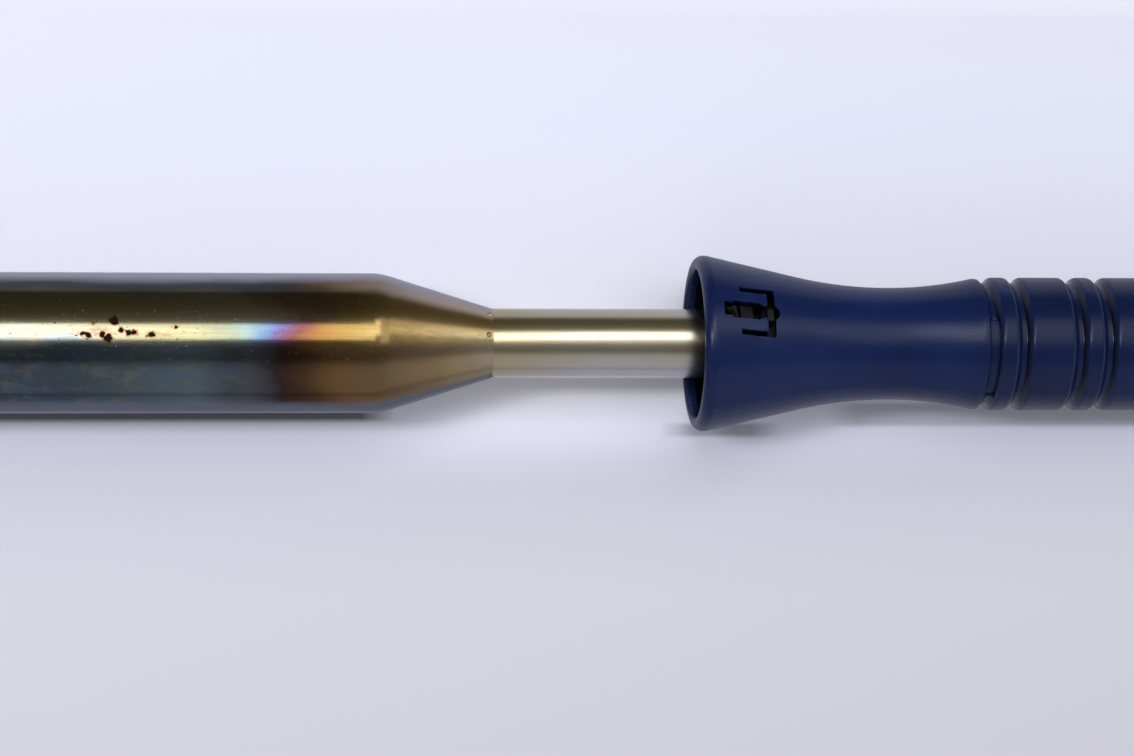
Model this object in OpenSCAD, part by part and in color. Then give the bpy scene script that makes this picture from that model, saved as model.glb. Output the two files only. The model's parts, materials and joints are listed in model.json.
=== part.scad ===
// Electric soldering iron: a copper chisel bit in a heated steel barrel, a cone, a thin neck tube
// and a moulded handle with a flared front and a ridged grip. It lies level, as on a bench.

/* [Bit] */
// Diameter of the bit's round shank
bit_d = 20; // [14:0.5:26]
// Length of the bit that stands out in front of the collar
bit_out = 50; // [32:1:90]
// Length of the bit inside the collar and its socket
bit_in = 90; // [60:1:108]
// Length of the chisel's two ground faces
chisel_len = 24; // [12:1:30]
// Thickness of the chisel's working edge
edge_t = 2; // [1:0.25:5]

/* [Heater] */
// Wall of the tube that the bit slides in
socket_t = 1.15; // [0.8:0.05:2]
// Thickness of the inner mica sleeve
inner_mica_t = 0.35; // [0.2:0.05:0.8]
// Radial room for the heating wire between the two mica sleeves
wire_room = 1.8; // [1.7:0.1:3]
// Diameter of the heating wire
wire_d = 1; // [0.6:0.1:1.2]
// Turns in each of the coil's two strands
coil_turns = 9; // [5:1:12]
// Thickness of the outer mica sleeve
outer_mica_t = 0.5; // [0.3:0.05:1]
// Thickness of the fibre blanket
blanket_t = 1.05; // [0.8:0.05:4]
// Thickness of the ceramic disc behind the socket
disc_t = 8; // [6:0.5:9]

/* [Barrel] */
// Length of the barrel's straight part
barrel_len = 112; // [92:1:150]
// Wall of the barrel and its cone
shell_t = 0.8; // [0.5:0.1:1.2]
// Length of the cone between the barrel and the neck
cone_len = 25.5; // [18:0.1:36]
// Radius that rounds the shoulder between the barrel and the cone
shoulder_r = 14; // [5:1:40]
// Length of the steel collar in front of the barrel
collar_len = 14; // [13:0.5:20]
// Length of the collar's spigot inside the barrel
spigot_len = 10; // [8:0.5:14]
// Angles of the punched dimples at the cone's end, from the top towards +Y
dimple_angles = [12, 52.6, 128, 205, 285]; // [0:360]

/* [Neck] */
// Outer diameter of the neck tube
neck_d = 16; // [13:0.5:20]
// Wall of the neck tube
neck_t = 1; // [0.9:0.1:1.5]
// Length of the neck that shows between the cone and the handle
neck_show = 47; // [30:0.2:70]
// Length of the neck tube inside the handle
neck_in = 50; // [48:1:56]

/* [Handle] */
// Outer diameter of the flared front
flare_d = 40.8; // [34:0.2:50]
// Wall of the flare at its rim
rim_t = 3.15; // [2.9:0.05:4]
// Wall of the flare beside the snap tongues
flare_wall = 2.6; // [2:0.1:3]
// Wall of the handle at its waist
handle_wall = 2.75; // [1.8:0.05:4]
// Distance of the waist's thinnest place behind the flare's front
waist_x = 45.6; // [36:0.2:54]
// Steepness of the flare's straight flank, over its mean slope
flank_steepness = 1.36; // [1.2:0.02:1.6]
// Distance of the first groove behind the flare's front
grip_x = 68; // [59:0.5:80]
// Rise of the grip's ridges over the waist
grip_rise = 2.5; // [2:0.1:3]
// Depth of the grip's grooves
groove_depth = 1.35; // [1:0.05:1.7]
// Width of the grip's grooves
groove_w = 3.8; // [3.5:0.1:4.5]
// Distance across a narrow ridge, from groove to groove
narrow_pitch = 6.9; // [5.5:0.1:8]
// Distance across a wide ridge, from groove to groove
wide_pitch = 13.3; // [8:0.1:16]
// Length of the moulded handle
handle_len = 150; // [125:1:175]
// Length of the smooth tail behind the grip
tail_len = 28; // [18:1:34]

/* [Snap] */
// Angle of the snap tongues and their peg, from the top towards +Y
snap_angle = 23.5; // [0:0.5:45]
// Diameter of the round hole between the tongues
snap_hole_d = 4; // [3.2:0.1:4.6]

/* [Fasteners] */
// Thread diameter of the two screws that clamp the bit
clamp_d = 6; // [5:0.5:7]
// Angle of each clamp screw from straight down
clamp_angle = 35; // [28:1:42]
// Outer diameter of the mains cord that the inlet takes
cord_d = 8; // [6.5:0.1:9.6]

/* [Hidden] */
$fn = 64;

// Clearances: a slide, a fit or thread that only just clears, loose room, and a crimp or press
slide_gap = 0.15;
fit_gap = 0.05;
loose_gap = 0.3;
press_gap = 0.02;
// How far a cutting shape runs past the face that it cuts
over = 1;

// Radii from the bit outwards
bit_r = bit_d / 2;
socket_in_r = bit_r + slide_gap;
socket_r = socket_in_r + socket_t;
inner_mica_in_r = socket_r + fit_gap;
inner_mica_r = inner_mica_in_r + inner_mica_t;
outer_mica_in_r = inner_mica_r + wire_room;
coil_r = (inner_mica_r + outer_mica_in_r) / 2 + slide_gap;
outer_mica_r = outer_mica_in_r + outer_mica_t;
blanket_in_r = outer_mica_r + fit_gap;
blanket_r = blanket_in_r + blanket_t;
shell_in_r = blanket_r + 2 * fit_gap;
barrel_r = shell_in_r + shell_t;
neck_r = neck_d / 2;
neck_in_r = neck_r - neck_t;

// Places along the axis, where x = 0 is the front plane of the flare
crease_x = -neck_show;
cone_x = crease_x - cone_len;
barrel_x = cone_x - barrel_len;
collar_x = barrel_x - collar_len;
tip_x = collar_x - bit_out;
bit_end_x = collar_x + bit_in;
plug_t = 5;
tube_seat = 2;
tube_x0 = barrel_x - tube_seat;
tube_x1 = bit_end_x + fit_gap + plug_t;
disc_x0 = tube_x1 + 2 * fit_gap;
disc_x1 = disc_x0 + disc_t;
wrap_x0 = barrel_x + spigot_len + loose_gap;
wrap_x1 = disc_x0 - loose_gap;

// Cone between the barrel and the neck
cone_a = atan((barrel_r - neck_r) / cone_len);
shoulder_run = shoulder_r * tan(cone_a / 2);
function cone_in_r(x) = neck_r - shell_t / cos(cone_a) + (crease_x - x) * tan(cone_a);

// Small screws: radius, head radius and head height
m2 = [1, 1.9, 1.3];
m25 = [1.25, 2.3, 1.3];
m3 = [1.5, 2.8, 1.6];
thread_gap = 0.05;
hole_gap = 0.1;
// Driver slot's width and depth, and how far a shank runs up into its head
driver_slot = 0.5;
driver_depth = 0.65;
shank_lap = 0.5;

// Cord saddle, which with the neck's earth screw sets the handle's bore
saddle_in_r = cord_d / 2 + loose_gap;
saddle_r = saddle_in_r + 1.5;
ear_z0 = 1.25;
ear_z1 = 2.75;
saddle_screw_y = sqrt(saddle_r * saddle_r - ear_z1 * ear_z1) + m2[1] + hole_gap;
saddle_reach = norm([saddle_screw_y + m2[1], ear_z1 + fit_gap + m2[2]]);
tag_t = 0.6;
earth_reach = neck_r + tag_t + m25[2] + 3 * fit_gap;
bore_clear = 0.35;
bore_r = max(saddle_reach, earth_reach) + bore_clear;

// Handle outline
flare_r = flare_d / 2;
mouth_r = flare_r - rim_t;
waist_r = bore_r + handle_wall;
grip_r = waist_r + grip_rise;
axis_h = flare_r;
rim_round = [2.2, 1.9];
lip_round = 1.2;
flank_dx = waist_x - rim_round[0];
flank_dr = flare_r - waist_r;
flank_a = atan(flank_steepness * flank_dr / flank_dx);
blend_sum = flank_dr * (flank_steepness - 1) * cos(flank_a) / (1 - cos(flank_a));
rim_share = 0.03;
rim_blend_r = rim_share * blend_sum;
waist_blend_r = blend_sum - rim_blend_r;
ridge_edge = groove_w / 2;
// Half the width of a groove's flat floor, between walls at 45 degrees
groove_floor = ridge_edge - groove_depth;
swell_drop = 0.3;
swell_dx = grip_x - ridge_edge + swell_drop - waist_x;
swell_rise = grip_rise - swell_drop;
swell_r = (swell_dx * swell_dx + swell_rise * swell_rise) / (2 * swell_rise);
tail_x = handle_len - tail_len;
function groove_x(i) = grip_x + floor(i / 2) * (narrow_pitch + wide_pitch) + (i % 2) * narrow_pitch;
grooves = [for (i = [0:30]) if (groove_x(i) + ridge_edge < tail_x) groove_x(i)];
inlet_r = cord_d / 2 + 2.5;
end_r = inlet_r + 2.7;
end_wall = 10;
bore_x1 = handle_len - end_wall;

function arc(cx, cr, rx, rr, a0, a1, n) =
    [for (i = [0:n]) let (a = a0 + (a1 - a0) * i / n) [cx + rx * cos(a), cr + rr * sin(a)]];

rim_points = arc(rim_round[0], flare_r - rim_round[1], rim_round[0], rim_round[1], 180, 90, 6);
flank_points = concat(
    arc(rim_round[0], flare_r - rim_blend_r, rim_blend_r, rim_blend_r, 90, 90 - flank_a, 4),
    arc(waist_x, waist_r + waist_blend_r, waist_blend_r, waist_blend_r, 270 - flank_a, 270, 7));
swell_points = arc(waist_x, waist_r + swell_r, swell_r, swell_r, 270, 270 + asin(swell_dx / swell_r), 6);
function groove_points(x) = let (drop = x == grip_x ? swell_drop : 0)
    [[x - ridge_edge + drop, grip_r - drop], [x - groove_floor, grip_r - groove_depth],
     [x + groove_floor, grip_r - groove_depth], [x + ridge_edge, grip_r]];
tail_points = arc(tail_x, end_r, tail_len, grip_r - end_r, 90, 0, 10);
outline = concat(rim_points, flank_points, swell_points, [for (x = grooves) each groove_points(x)],
                 tail_points);
function handle_r(x) = lookup(x, concat(flank_points, swell_points));

// Seat of the neck bushing in the flare
seat_x0 = 9;
seat_x1 = 22;
seat_r0 = handle_r(seat_x0) - flare_wall;
seat_r1 = handle_r(seat_x1) - flare_wall;
bushing_x1 = 32;
clip_x = bushing_x1 + loose_gap;
clip_t = 1;
clip_depth = 0.4;
clip_r = neck_r + 1.6;
clip_mouth = 9;
recess_depth = 2;
recess_walls = [2.5, 2];

// Snap tongues: places behind the flare's front, and offsets across from the peg
peg_x = 15.6;
side_slot = [8.3, 5.9];
side_slot_w = 1.3;
cross_slot_w = 1.9;
throat = 1.3;
mid_slot = [[4.4, 1.7], [6.6, 1.7], [6.6, 2.1], [12.6, 2.1], [13.8, throat]];
peg_d = snap_hole_d - 2 * loose_gap;
peg_t = peg_d / 2;
peg_sunk = 1.2;

// Pocket in the first groove's floor, between two angles from the top towards +Y
pocket_angles = [-58, 22.5];
pocket_w = 2.3;
pocket_r = grip_r - groove_depth - 0.4;

// Chassis in the handle's bore
ring_x0 = 44;
ring_x1 = neck_in + 6;
ring_hole_r = neck_r - 2;
tray_r = bore_r - 2 * fit_gap;
bush_bore_r = cord_d / 2 + 0.25;
bush_out = 4;
bush_edge = 0.7;
bush_lip = 1.6;
bush_lip_t = 1.5;
bush_flange = 2.3;
bush_flange_t = 3;
tray_x1 = bore_x1 - bush_flange_t - 2 * loose_gap;
block_h = 9;
tray_z = -block_h / 2 + 1.3;
block_top = tray_z + block_h;
block_x0 = ring_x1 + 9;
block_len = 18;
block_w = 2 * (sqrt(pow(tray_r - loose_gap, 2) - block_top * block_top) - loose_gap);
lug_len = 5;
lug_t = 3;
lug_bite = 4;
lug_screw_x = block_x0 + block_len + lug_len / 2;
pole_r = 1.9;
pole_bore_r = 1.1;
pole_y = block_w / 2 - pole_r - 1;
pole_screw_x = [4, block_len - 4];
pole_inset = 1;
grub_sunk = 1;
saddle_len = 8;
saddle_x0 = tray_x1 - saddle_len - 4;
saddle_screw_x = saddle_x0 + saddle_len / 2;

// Wires
lead_r = 0.7;
lead_y = 2.5;
lead_sides = 8;
coil_tail = 4;
coil_x0 = wrap_x0 + 2;
coil_x1 = wrap_x1 - coil_tail - 1;
coil_pitch = (coil_x1 - coil_x0) / coil_turns;
coil_steps = 12;
coil_sides = 6;
coil_start = 102;
coil_end = coil_start + 360 * coil_turns;

// Clamp screws: the heads reach down to the bench beside the flare's lowest line
head_af = clamp_d * 10 / 6;
head_k = clamp_d * 2 / 3;
washer_t = clamp_d * 1.6 / 6;
washer_r = clamp_d * 5.9 / 6;
head_r = (axis_h - head_af / 2 * sin(clamp_angle)) / cos(clamp_angle);
head_base_r = head_r - head_k;
seat_face_r = head_base_r - washer_t - 2 * fit_gap;
spot_r = max(head_af / sqrt(3), washer_r) + loose_gap;
clamp_x = collar_x + collar_len / 2;
collar_screw_x = barrel_x + spigot_len / 2;
collar_screw_angles = [0, 120, 240];
collar_edge = 1;
washer_split = 0.8;

steel = [0.62, 0.61, 0.58];
bright = [0.78, 0.77, 0.74];
navy = [0.13, 0.17, 0.31];
black = [0.07, 0.07, 0.08];
copper = [0.72, 0.43, 0.28];
ceramic = [0.9, 0.88, 0.82];
mica = [0.78, 0.7, 0.55];
brass = [0.78, 0.64, 0.32];

// Puts the iron's axis at its height over the bench, centred along X
module placed() translate([-(tip_x + handle_len + bush_out) / 2, 0, axis_h]) children();

// Solid of revolution about the iron's axis, from points of place and radius
module turned(points, start = 0, sweep = 360)
    rotate([0, 90, 0]) rotate([0, 0, 180 - start - sweep])
        rotate_extrude(angle = sweep) polygon([for (p = points) [p[1], p[0]]]);

module tube(x0, x1, r_in, r_out) turned([[x0, r_in], [x1, r_in], [x1, r_out], [x0, r_out]]);

module rod(x0, x1, r) translate([x0, 0, 0]) rotate([0, 90, 0]) cylinder(r = r, h = x1 - x0);

// Turns what points up to an angle from the top towards +Y
module around(a) rotate([-a, 0, 0]) children();

module block(x0, x1, y0, y1, z0, z1) translate([x0, y0, z0]) cube([x1 - x0, y1 - y0, z1 - z0]);

module post(x, y, z0, z1, r) translate([x, y, z0]) cylinder(r = r, h = z1 - z0);

// Round-headed screw that points down, with the underside of its head at z
module small_screw(size, x, y, z, length) {
    difference() {
        union() {
            post(x, y, z - length, z + shank_lap, size[0]);
            post(x, y, z, z + size[2], size[1]);
        }
        block(x - size[1] - over, x + size[1] + over, y - driver_slot / 2, y + driver_slot / 2,
              z + size[2] - driver_depth, z + size[2] + over);
    }
}

// Round wire along points, with a direction beside each point that the wire never follows
module wire(points, beside, r, sides) {
    n = len(points);
    along = [for (i = [0:n - 1]) let (d = points[min(i + 1, n - 1)] - points[max(i - 1, 0)]) d / norm(d)];
    side = [for (i = [0:n - 1]) let (d = cross(beside[i], along[i])) d / norm(d)];
    ring = [for (i = [0:n - 1], k = [0:sides - 1]) let (a = 360 * k / sides)
            points[i] + r * (cos(a) * side[i] + sin(a) * cross(along[i], side[i]))];
    walls = [for (i = [0:n - 2], k = [0:sides - 1]) let (a = i * sides + k, b = i * sides + (k + 1) % sides)
             each [[a, a + sides, b + sides], [a, b + sides, b]]];
    last = (n - 1) * sides;
    caps = [for (k = [1:sides - 2]) each [[0, k, k + 1], [last, last + k + 1, last + k]]];
    polyhedron(ring, concat(walls, caps));
}

function ease(t) = t * t * (3 - 2 * t);
function at_angle(x, r, a) = [x, r * sin(a), r * cos(a)];
function coil_point(x, a) = at_angle(x, coil_r, a);

// Copper bit with a chisel end
module soldering_bit() color(copper) placed()
    intersection() {
        rod(tip_x, bit_end_x, bit_r);
        rotate([90, 0, 0]) translate([0, 0, -bit_d]) linear_extrude(2 * bit_d)
            polygon([[tip_x, edge_t / 2], [tip_x + chisel_len, bit_r + fit_gap],
                     [bit_end_x + over, bit_r + fit_gap], [bit_end_x + over, -bit_r - fit_gap],
                     [tip_x + chisel_len, -bit_r - fit_gap], [tip_x, -edge_t / 2]]);
    }

// Turned steel collar: a flange in front of the barrel and a spigot inside it
module front_collar() color(steel) placed()
    difference() {
        union() {
            turned([[collar_x, socket_in_r], [collar_x, barrel_r - collar_edge],
                    [collar_x + collar_edge, barrel_r], [barrel_x - fit_gap, barrel_r],
                    [barrel_x - fit_gap, shell_in_r - fit_gap],
                    [barrel_x + spigot_len, shell_in_r - fit_gap],
                    [barrel_x + spigot_len, socket_r + fit_gap], [tube_x0, socket_r + fit_gap],
                    [tube_x0, socket_in_r]]);
            for (s = [-1, 1]) around(180 + s * clamp_angle) difference() {
                post(clamp_x, 0, bit_r + socket_t, seat_face_r, spot_r);
                rod(clamp_x - 2 * spot_r, clamp_x + 2 * spot_r, bit_r + socket_t + over);
            }
        }
        for (s = [-1, 1]) around(180 + s * clamp_angle) {
            post(clamp_x, 0, seat_face_r, seat_face_r + 2 * head_af, spot_r);
            post(clamp_x, 0, bit_r / 2, seat_face_r + over, clamp_d / 2 + thread_gap);
        }
        for (a = collar_screw_angles) around(a)
            post(collar_screw_x, 0, bit_r, barrel_r + over, m3[0] + thread_gap);
    }

// Hex-headed screw whose point bears on the bit's shank
module clamp_screw(a) color(bright) placed() around(a) {
    post(clamp_x, 0, bit_r + fit_gap, head_base_r + head_k / 2, clamp_d / 2);
    intersection() {
        translate([clamp_x, 0, head_base_r]) cylinder(r = head_af / sqrt(3), h = head_k, $fn = 6);
        translate([clamp_x, 0, head_base_r])
            cylinder(r1 = head_af / 2 + head_k * sqrt(3), r2 = head_af / 2, h = head_k);
    }
}

// Split ring under a clamp screw's head
module lock_washer(a) color(steel) placed() around(a)
    difference() {
        post(clamp_x, 0, seat_face_r + fit_gap, head_base_r - fit_gap, washer_r);
        post(clamp_x, 0, seat_face_r - over, head_base_r + over, clamp_d / 2 + hole_gap);
        block(clamp_x - 2 * washer_r, clamp_x, -washer_split / 2, washer_split / 2,
              seat_face_r - over, head_base_r + over);
    }

module clamp_screw_left() clamp_screw(180 - clamp_angle);

module clamp_screw_right() clamp_screw(180 + clamp_angle);

module lock_washer_left() lock_washer(180 - clamp_angle);

module lock_washer_right() lock_washer(180 + clamp_angle);

// Three screws that hold the collar's spigot in the barrel
module collar_screws() color(bright) placed()
    for (a = collar_screw_angles) around(a)
        small_screw(m3, collar_screw_x, 0, barrel_r + fit_gap, barrel_r - socket_r - 2 * loose_gap);

// Thin steel barrel that is drawn down to a cone
module barrel_shell() color(steel) placed()
    difference() {
        turned(concat(
            [[barrel_x, barrel_r]],
            arc(cone_x - shoulder_run, barrel_r - shoulder_r, shoulder_r, shoulder_r, 90, 90 - cone_a, 5),
            [[crease_x, neck_r], [crease_x, cone_in_r(crease_x)]],
            arc(cone_x - shoulder_run, barrel_r - shoulder_r, shoulder_r - shell_t, shoulder_r - shell_t,
                90 - cone_a, 90, 5),
            [[barrel_x, shell_in_r]]));
        for (a = collar_screw_angles) around(a)
            post(collar_screw_x, 0, shell_in_r - over, barrel_r + over, m3[0] + hole_gap);
        dimples();
    }

// Punched marks along the crease between the cone and the neck
dimple_r = 0.85;
dimple_depth = 0.45;
module dimples()
    for (a = dimple_angles) around(a)
        translate([crease_x - 0.2, 0, neck_r - dimple_depth + dimple_r]) sphere(r = dimple_r);

module bit_socket_tube() color(steel) placed() tube(tube_x0 + fit_gap, tube_x1, socket_in_r, socket_r);

// Plug that closes the socket, with a stub that the ceramic disc carries
stub_r = bit_r * 0.6;
module socket_end_plug() color(steel) placed() {
    rod(bit_end_x + fit_gap, tube_x1, socket_in_r - fit_gap);
    rod(tube_x1 - over, disc_x1 - over, stub_r);
}

module inner_mica_sleeve() color(mica) placed() tube(wrap_x0, wrap_x1, inner_mica_in_r, inner_mica_r);

module outer_mica_sleeve() color(mica) placed() tube(wrap_x0, wrap_x1, outer_mica_in_r, outer_mica_r);

module fibre_blanket() color("white") placed() tube(wrap_x0, wrap_x1, blanket_in_r, blanket_r);

// Heating wire, wound as two strands that meet in a hairpin at the front, so both ends are at the back
module heating_coil() color("dimgray") placed() {
    hairpin_r = coil_pitch / 4;
    go = [for (i = [0:coil_steps * coil_turns]) let (a = coil_start + 360 * i / coil_steps)
          coil_point(coil_x1 - coil_pitch * i / coil_steps, a)];
    bend = [for (b = [-60:30:60]) coil_point(coil_x0 + hairpin_r * (1 + sin(b)),
                                            coil_end + hairpin_r * cos(b) / coil_r * 180 / PI)];
    back = [for (i = [coil_steps * coil_turns:-1:coil_steps / 2]) let (a = coil_start + 360 * i / coil_steps)
            coil_point(coil_x1 - coil_pitch * (i / coil_steps - 0.5), a)];
    tail_turn = 12;
    tail = [[coil_tail, 0], [coil_tail / 2, 0.8], [0.7, 4]];
    tail_in = [for (t = tail) coil_point(coil_x1 + t[0], coil_start - tail_turn + t[1])];
    tail_out = [for (i = [2:-1:0])
                coil_point(coil_x1 + tail[i][0], coil_start + 180 - tail_turn + tail[i][1])];
    points = concat(tail_in, go, bend, back, tail_out);
    wire(points, [for (p = points) [0, p[1], p[2]]], wire_d / 2, coil_sides);
}

// Ceramic disc at the back of the heater, with a hole for each lead
module ceramic_disc() color(ceramic) placed()
    difference() {
        rod(disc_x0, disc_x1, shell_in_r - 2 * fit_gap);
        rod(disc_x0 - over, disc_x1 + over, stub_r + fit_gap);
        for (s = [-1, 1]) translate([0, s * coil_r, 0])
            rod(disc_x0 - over, disc_x1 + over, lead_r + loose_gap);
    }

// Pressed sleeve that joins the cone to the neck tube from inside
ferrule_reach = [9, 14];
ferrule_t = 1;
module joint_ferrule() color(steel) placed() {
    front_x = crease_x - ferrule_reach[0];
    back_x = crease_x + ferrule_reach[1];
    front_r = cone_in_r(front_x) - 2 * fit_gap;
    back_r = neck_in_r - fit_gap;
    turned([[front_x, front_r], [crease_x, back_r], [back_x, back_r], [back_x, back_r - ferrule_t],
            [crease_x, back_r - ferrule_t], [front_x, front_r - ferrule_t]]);
}

// Neck tube, with a groove for the clip and two screw holes in the handle
module neck_tube() color(bright) placed()
    difference() {
        tube(crease_x, neck_in, neck_in_r, neck_r);
        tube(clip_x - fit_gap, clip_x + clip_t + fit_gap, neck_r - clip_depth, neck_r + over);
        post(earth_x, 0, 0, neck_r + over, m25[0] + thread_gap);
        around(180) post(chassis_screw_x, 0, 0, neck_r + over, m25[0] + thread_gap);
        dimples();
    }

// Ceramic beads with two bores that keep the leads apart in the neck
bead_count = 4;
bead_x0 = crease_x + ferrule_reach[1] + loose_gap;
bead_step = (ring_x0 - bead_x0) / bead_count;
module lead_beads() color(ceramic) placed()
    for (i = [0:bead_count - 1]) difference() {
        rod(bead_x0 + i * bead_step, bead_x0 + (i + 1) * bead_step - loose_gap, neck_in_r - loose_gap);
        for (s = [-1, 1]) translate([0, s * lead_y, 0])
            rod(bead_x0 + i * bead_step - over, bead_x0 + (i + 1) * bead_step + over, lead_r + slide_gap);
    }

// Lead from the coil to an outer pole, on the side s
lead_reach = 6;
module mains_lead(s) {
    ease_x0 = cone_x - 6;
    ease_x1 = crease_x - 4;
    fan_x0 = neck_in + 2;
    fan_x1 = block_x0 - over;
    points = concat(
        [[coil_x1 + coil_tail + fit_gap, s * coil_r, 0], [disc_x1 + over, s * coil_r, 0]],
        [for (t = [0:1 / 8:1])
         [ease_x0 + (ease_x1 - ease_x0) * t, s * (coil_r + (lead_y - coil_r) * ease(t)), 0]],
        [[0, s * lead_y, 0]],
        [for (t = [0:1 / 6:1.01])
         [fan_x0 + (fan_x1 - fan_x0) * t, s * (lead_y + (pole_y - lead_y) * ease(t)), 0]],
        [[block_x0 + lead_reach, s * pole_y, 0]]);
    wire(points, [for (p = points) [0, 0, 1]], lead_r, lead_sides);
}

module live_lead() color("firebrick") placed() mains_lead(1);

module neutral_lead() color("royalblue") placed() mains_lead(-1);

// Earth connection at the top of the neck tube
earth_x = 38;
crimp_r = 0.95;
crimp_z = neck_r + fit_gap + crimp_r;
tag_r = m25[1] + 0.4;
crimp_x0 = earth_x + m25[1] + 0.2;
crimp_len = 4;
module earth_tag() color(brass) placed()
    difference() {
        union() {
            post(earth_x, 0, neck_r + fit_gap, neck_r + fit_gap + tag_t, tag_r);
            translate([0, 0, crimp_z]) rod(crimp_x0, crimp_x0 + crimp_len, crimp_r);
        }
        post(earth_x, 0, neck_r - over, neck_r + tag_t + over, m25[0] + hole_gap);
        translate([0, 0, crimp_z]) rod(crimp_x0 + over, crimp_x0 + crimp_len + over, lead_r + press_gap);
    }

module earth_screw() color(bright) placed()
    small_screw(m25, earth_x, 0, neck_r + tag_t + 2 * fit_gap, tag_t + neck_t + 2 * fit_gap);

module earth_lead() color("olivedrab") placed() {
    fall_x0 = ring_x1 - 2;
    fall_x1 = block_x0 - over;
    points = concat(
        [[crimp_x0 + over + fit_gap, 0, crimp_z]],
        [for (i = [0:8]) [fall_x0 + (fall_x1 - fall_x0) * i / 8, 0, crimp_z * (1 - ease(i / 8))]],
        [[block_x0 + lead_reach, 0, 0]]);
    wire(points, [for (p = points) [0, 1, 0]], lead_r, lead_sides);
}

// Open spring clip in the neck tube's groove, behind the bushing
module retaining_clip() color(steel) placed()
    difference() {
        tube(clip_x, clip_x + clip_t, neck_r - clip_depth + fit_gap, clip_r);
        block(clip_x - over, clip_x + clip_t + over, -clip_mouth / 2, clip_mouth / 2, -clip_r - over, 0);
    }

// Moulded bushing that seats in the flare, carries the neck tube and has the snap peg
module neck_bushing() color(black) placed()
    difference() {
        union() {
            turned([[seat_x0, neck_r + fit_gap], [seat_x0, seat_r0 - hole_gap],
                    [seat_x1 - fit_gap, seat_r1 - hole_gap], [seat_x1 - fit_gap, bore_r - hole_gap],
                    [bushing_x1, bore_r - hole_gap], [bushing_x1, neck_r + fit_gap]]);
            around(snap_angle) intersection() {
                post(peg_x, 0, neck_r + over, handle_r(peg_x) - peg_sunk, peg_d / 2);
                block(peg_x - peg_t / 2, peg_x + peg_t / 2, -peg_d, peg_d, neck_r, flare_r);
            }
        }
        tube(seat_x0 - over, seat_x0 + recess_depth, neck_r + recess_walls[0], seat_r0 - recess_walls[1]);
    }

// Slots that free the two snap tongues, seen from outside and cut straight through the flare's wall
module snap_slots() around(snap_angle) translate([0, 0, neck_r]) linear_extrude(2 * flare_r) {
    for (s = [-1, 1]) translate([side_slot[0], s * (side_slot[1] - side_slot_w / 2) - side_slot_w / 2])
        square([peg_x + cross_slot_w / 2 - side_slot[0], side_slot_w]);
    translate([peg_x - cross_slot_w / 2, -side_slot[1]]) square([cross_slot_w, 2 * side_slot[1]]);
    polygon(concat(mid_slot, [[peg_x, throat], [peg_x, -throat]],
                   [for (i = [len(mid_slot) - 1:-1:0]) [mid_slot[i][0], -mid_slot[i][1]]]));
    translate([peg_x, 0]) circle(d = snap_hole_d);
}

// Handle: flared front, waist, ridged grip and rounded tail in one moulding
module handle_shell() color(navy) placed()
    difference() {
        turned(concat(outline,
            [[handle_len, inlet_r], [bore_x1, inlet_r], [bore_x1, bore_r], [seat_x1, bore_r],
             [seat_x1, seat_r1], [seat_x0, seat_r0]],
            arc(lip_round, mouth_r + lip_round, lip_round, lip_round, 270, 180, 4)));
        snap_slots();
        turned([[grip_x - pocket_w / 2, pocket_r], [grip_x + pocket_w / 2, pocket_r],
                [grip_x + pocket_w / 2, grip_r + over], [grip_x - pocket_w / 2, grip_r + over]],
               pocket_angles[0], pocket_angles[1] - pocket_angles[0]);
    }

// Carrier in the handle's bore: a ring on the neck tube's end and a tray behind it
chassis_screw_x = (ring_x0 + neck_in) / 2;
module chassis_carrier() color("gainsboro") placed()
    difference() {
        union() {
            rod(ring_x0 + loose_gap, ring_x1, tray_r);
            intersection() {
                rod(ring_x0 + loose_gap, tray_x1, tray_r);
                union() {
                    block(ring_x0, tray_x1 + over, -bore_r, bore_r, -bore_r, tray_z);
                    block(saddle_x0, saddle_x0 + saddle_len, -bore_r, bore_r, -bore_r, ear_z0 - fit_gap);
                }
            }
        }
        rod(ring_x0 - over, neck_in + fit_gap, neck_r + hole_gap);
        rod(ring_x0, ring_x1 + over, ring_hole_r);
        rod(saddle_x0 - 2, tray_x1 + over, saddle_in_r);
        block(ring_x0 - over, ring_x1 + over, -lead_r - loose_gap, lead_r + loose_gap, 0, bore_r + over);
        around(180) {
            post(chassis_screw_x, 0, 0, bore_r + over, m25[0] + hole_gap);
            post(chassis_screw_x, 0, neck_r + over, bore_r + over, m25[1] + hole_gap);
        }
        post(lug_screw_x, 0, tray_z - lug_bite - over, tray_z + over, m25[0] + thread_gap);
        for (s = [-1, 1]) post(saddle_screw_x, s * saddle_screw_y, tray_z, ear_z0, m2[0] + thread_gap);
    }

module chassis_screw() color(bright) placed() around(180)
    difference() {
        union() {
            post(chassis_screw_x, 0, neck_in_r + fit_gap, neck_r + over + shank_lap, m25[0]);
            post(chassis_screw_x, 0, neck_r + over + fit_gap, bore_r - loose_gap, m25[1]);
        }
        block(chassis_screw_x - 2 * m25[1], chassis_screw_x + 2 * m25[1], -driver_slot / 2, driver_slot / 2,
              bore_r - loose_gap - driver_depth / 2, bore_r + over);
    }

// Three-pole terminal block with a lug behind it
module terminal_block() color(ceramic) placed()
    difference() {
        union() {
            block(block_x0, block_x0 + block_len, -block_w / 2, block_w / 2, tray_z + fit_gap, block_top);
            block(block_x0 + block_len - over, block_x0 + block_len + lug_len, -lug_len / 2, lug_len / 2,
                  tray_z + fit_gap, tray_z + lug_t);
        }
        for (p = [-1, 0, 1]) translate([0, p * pole_y, 0]) {
            rod(block_x0 - over, block_x0 + block_len + over, pole_r + fit_gap);
            for (x = pole_screw_x) post(block_x0 + x, 0, 0, block_top + over, m25[0] + 2 * hole_gap);
        }
        post(lug_screw_x, 0, tray_z - over, tray_z + lug_t + over, m25[0] + hole_gap);
    }

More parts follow.
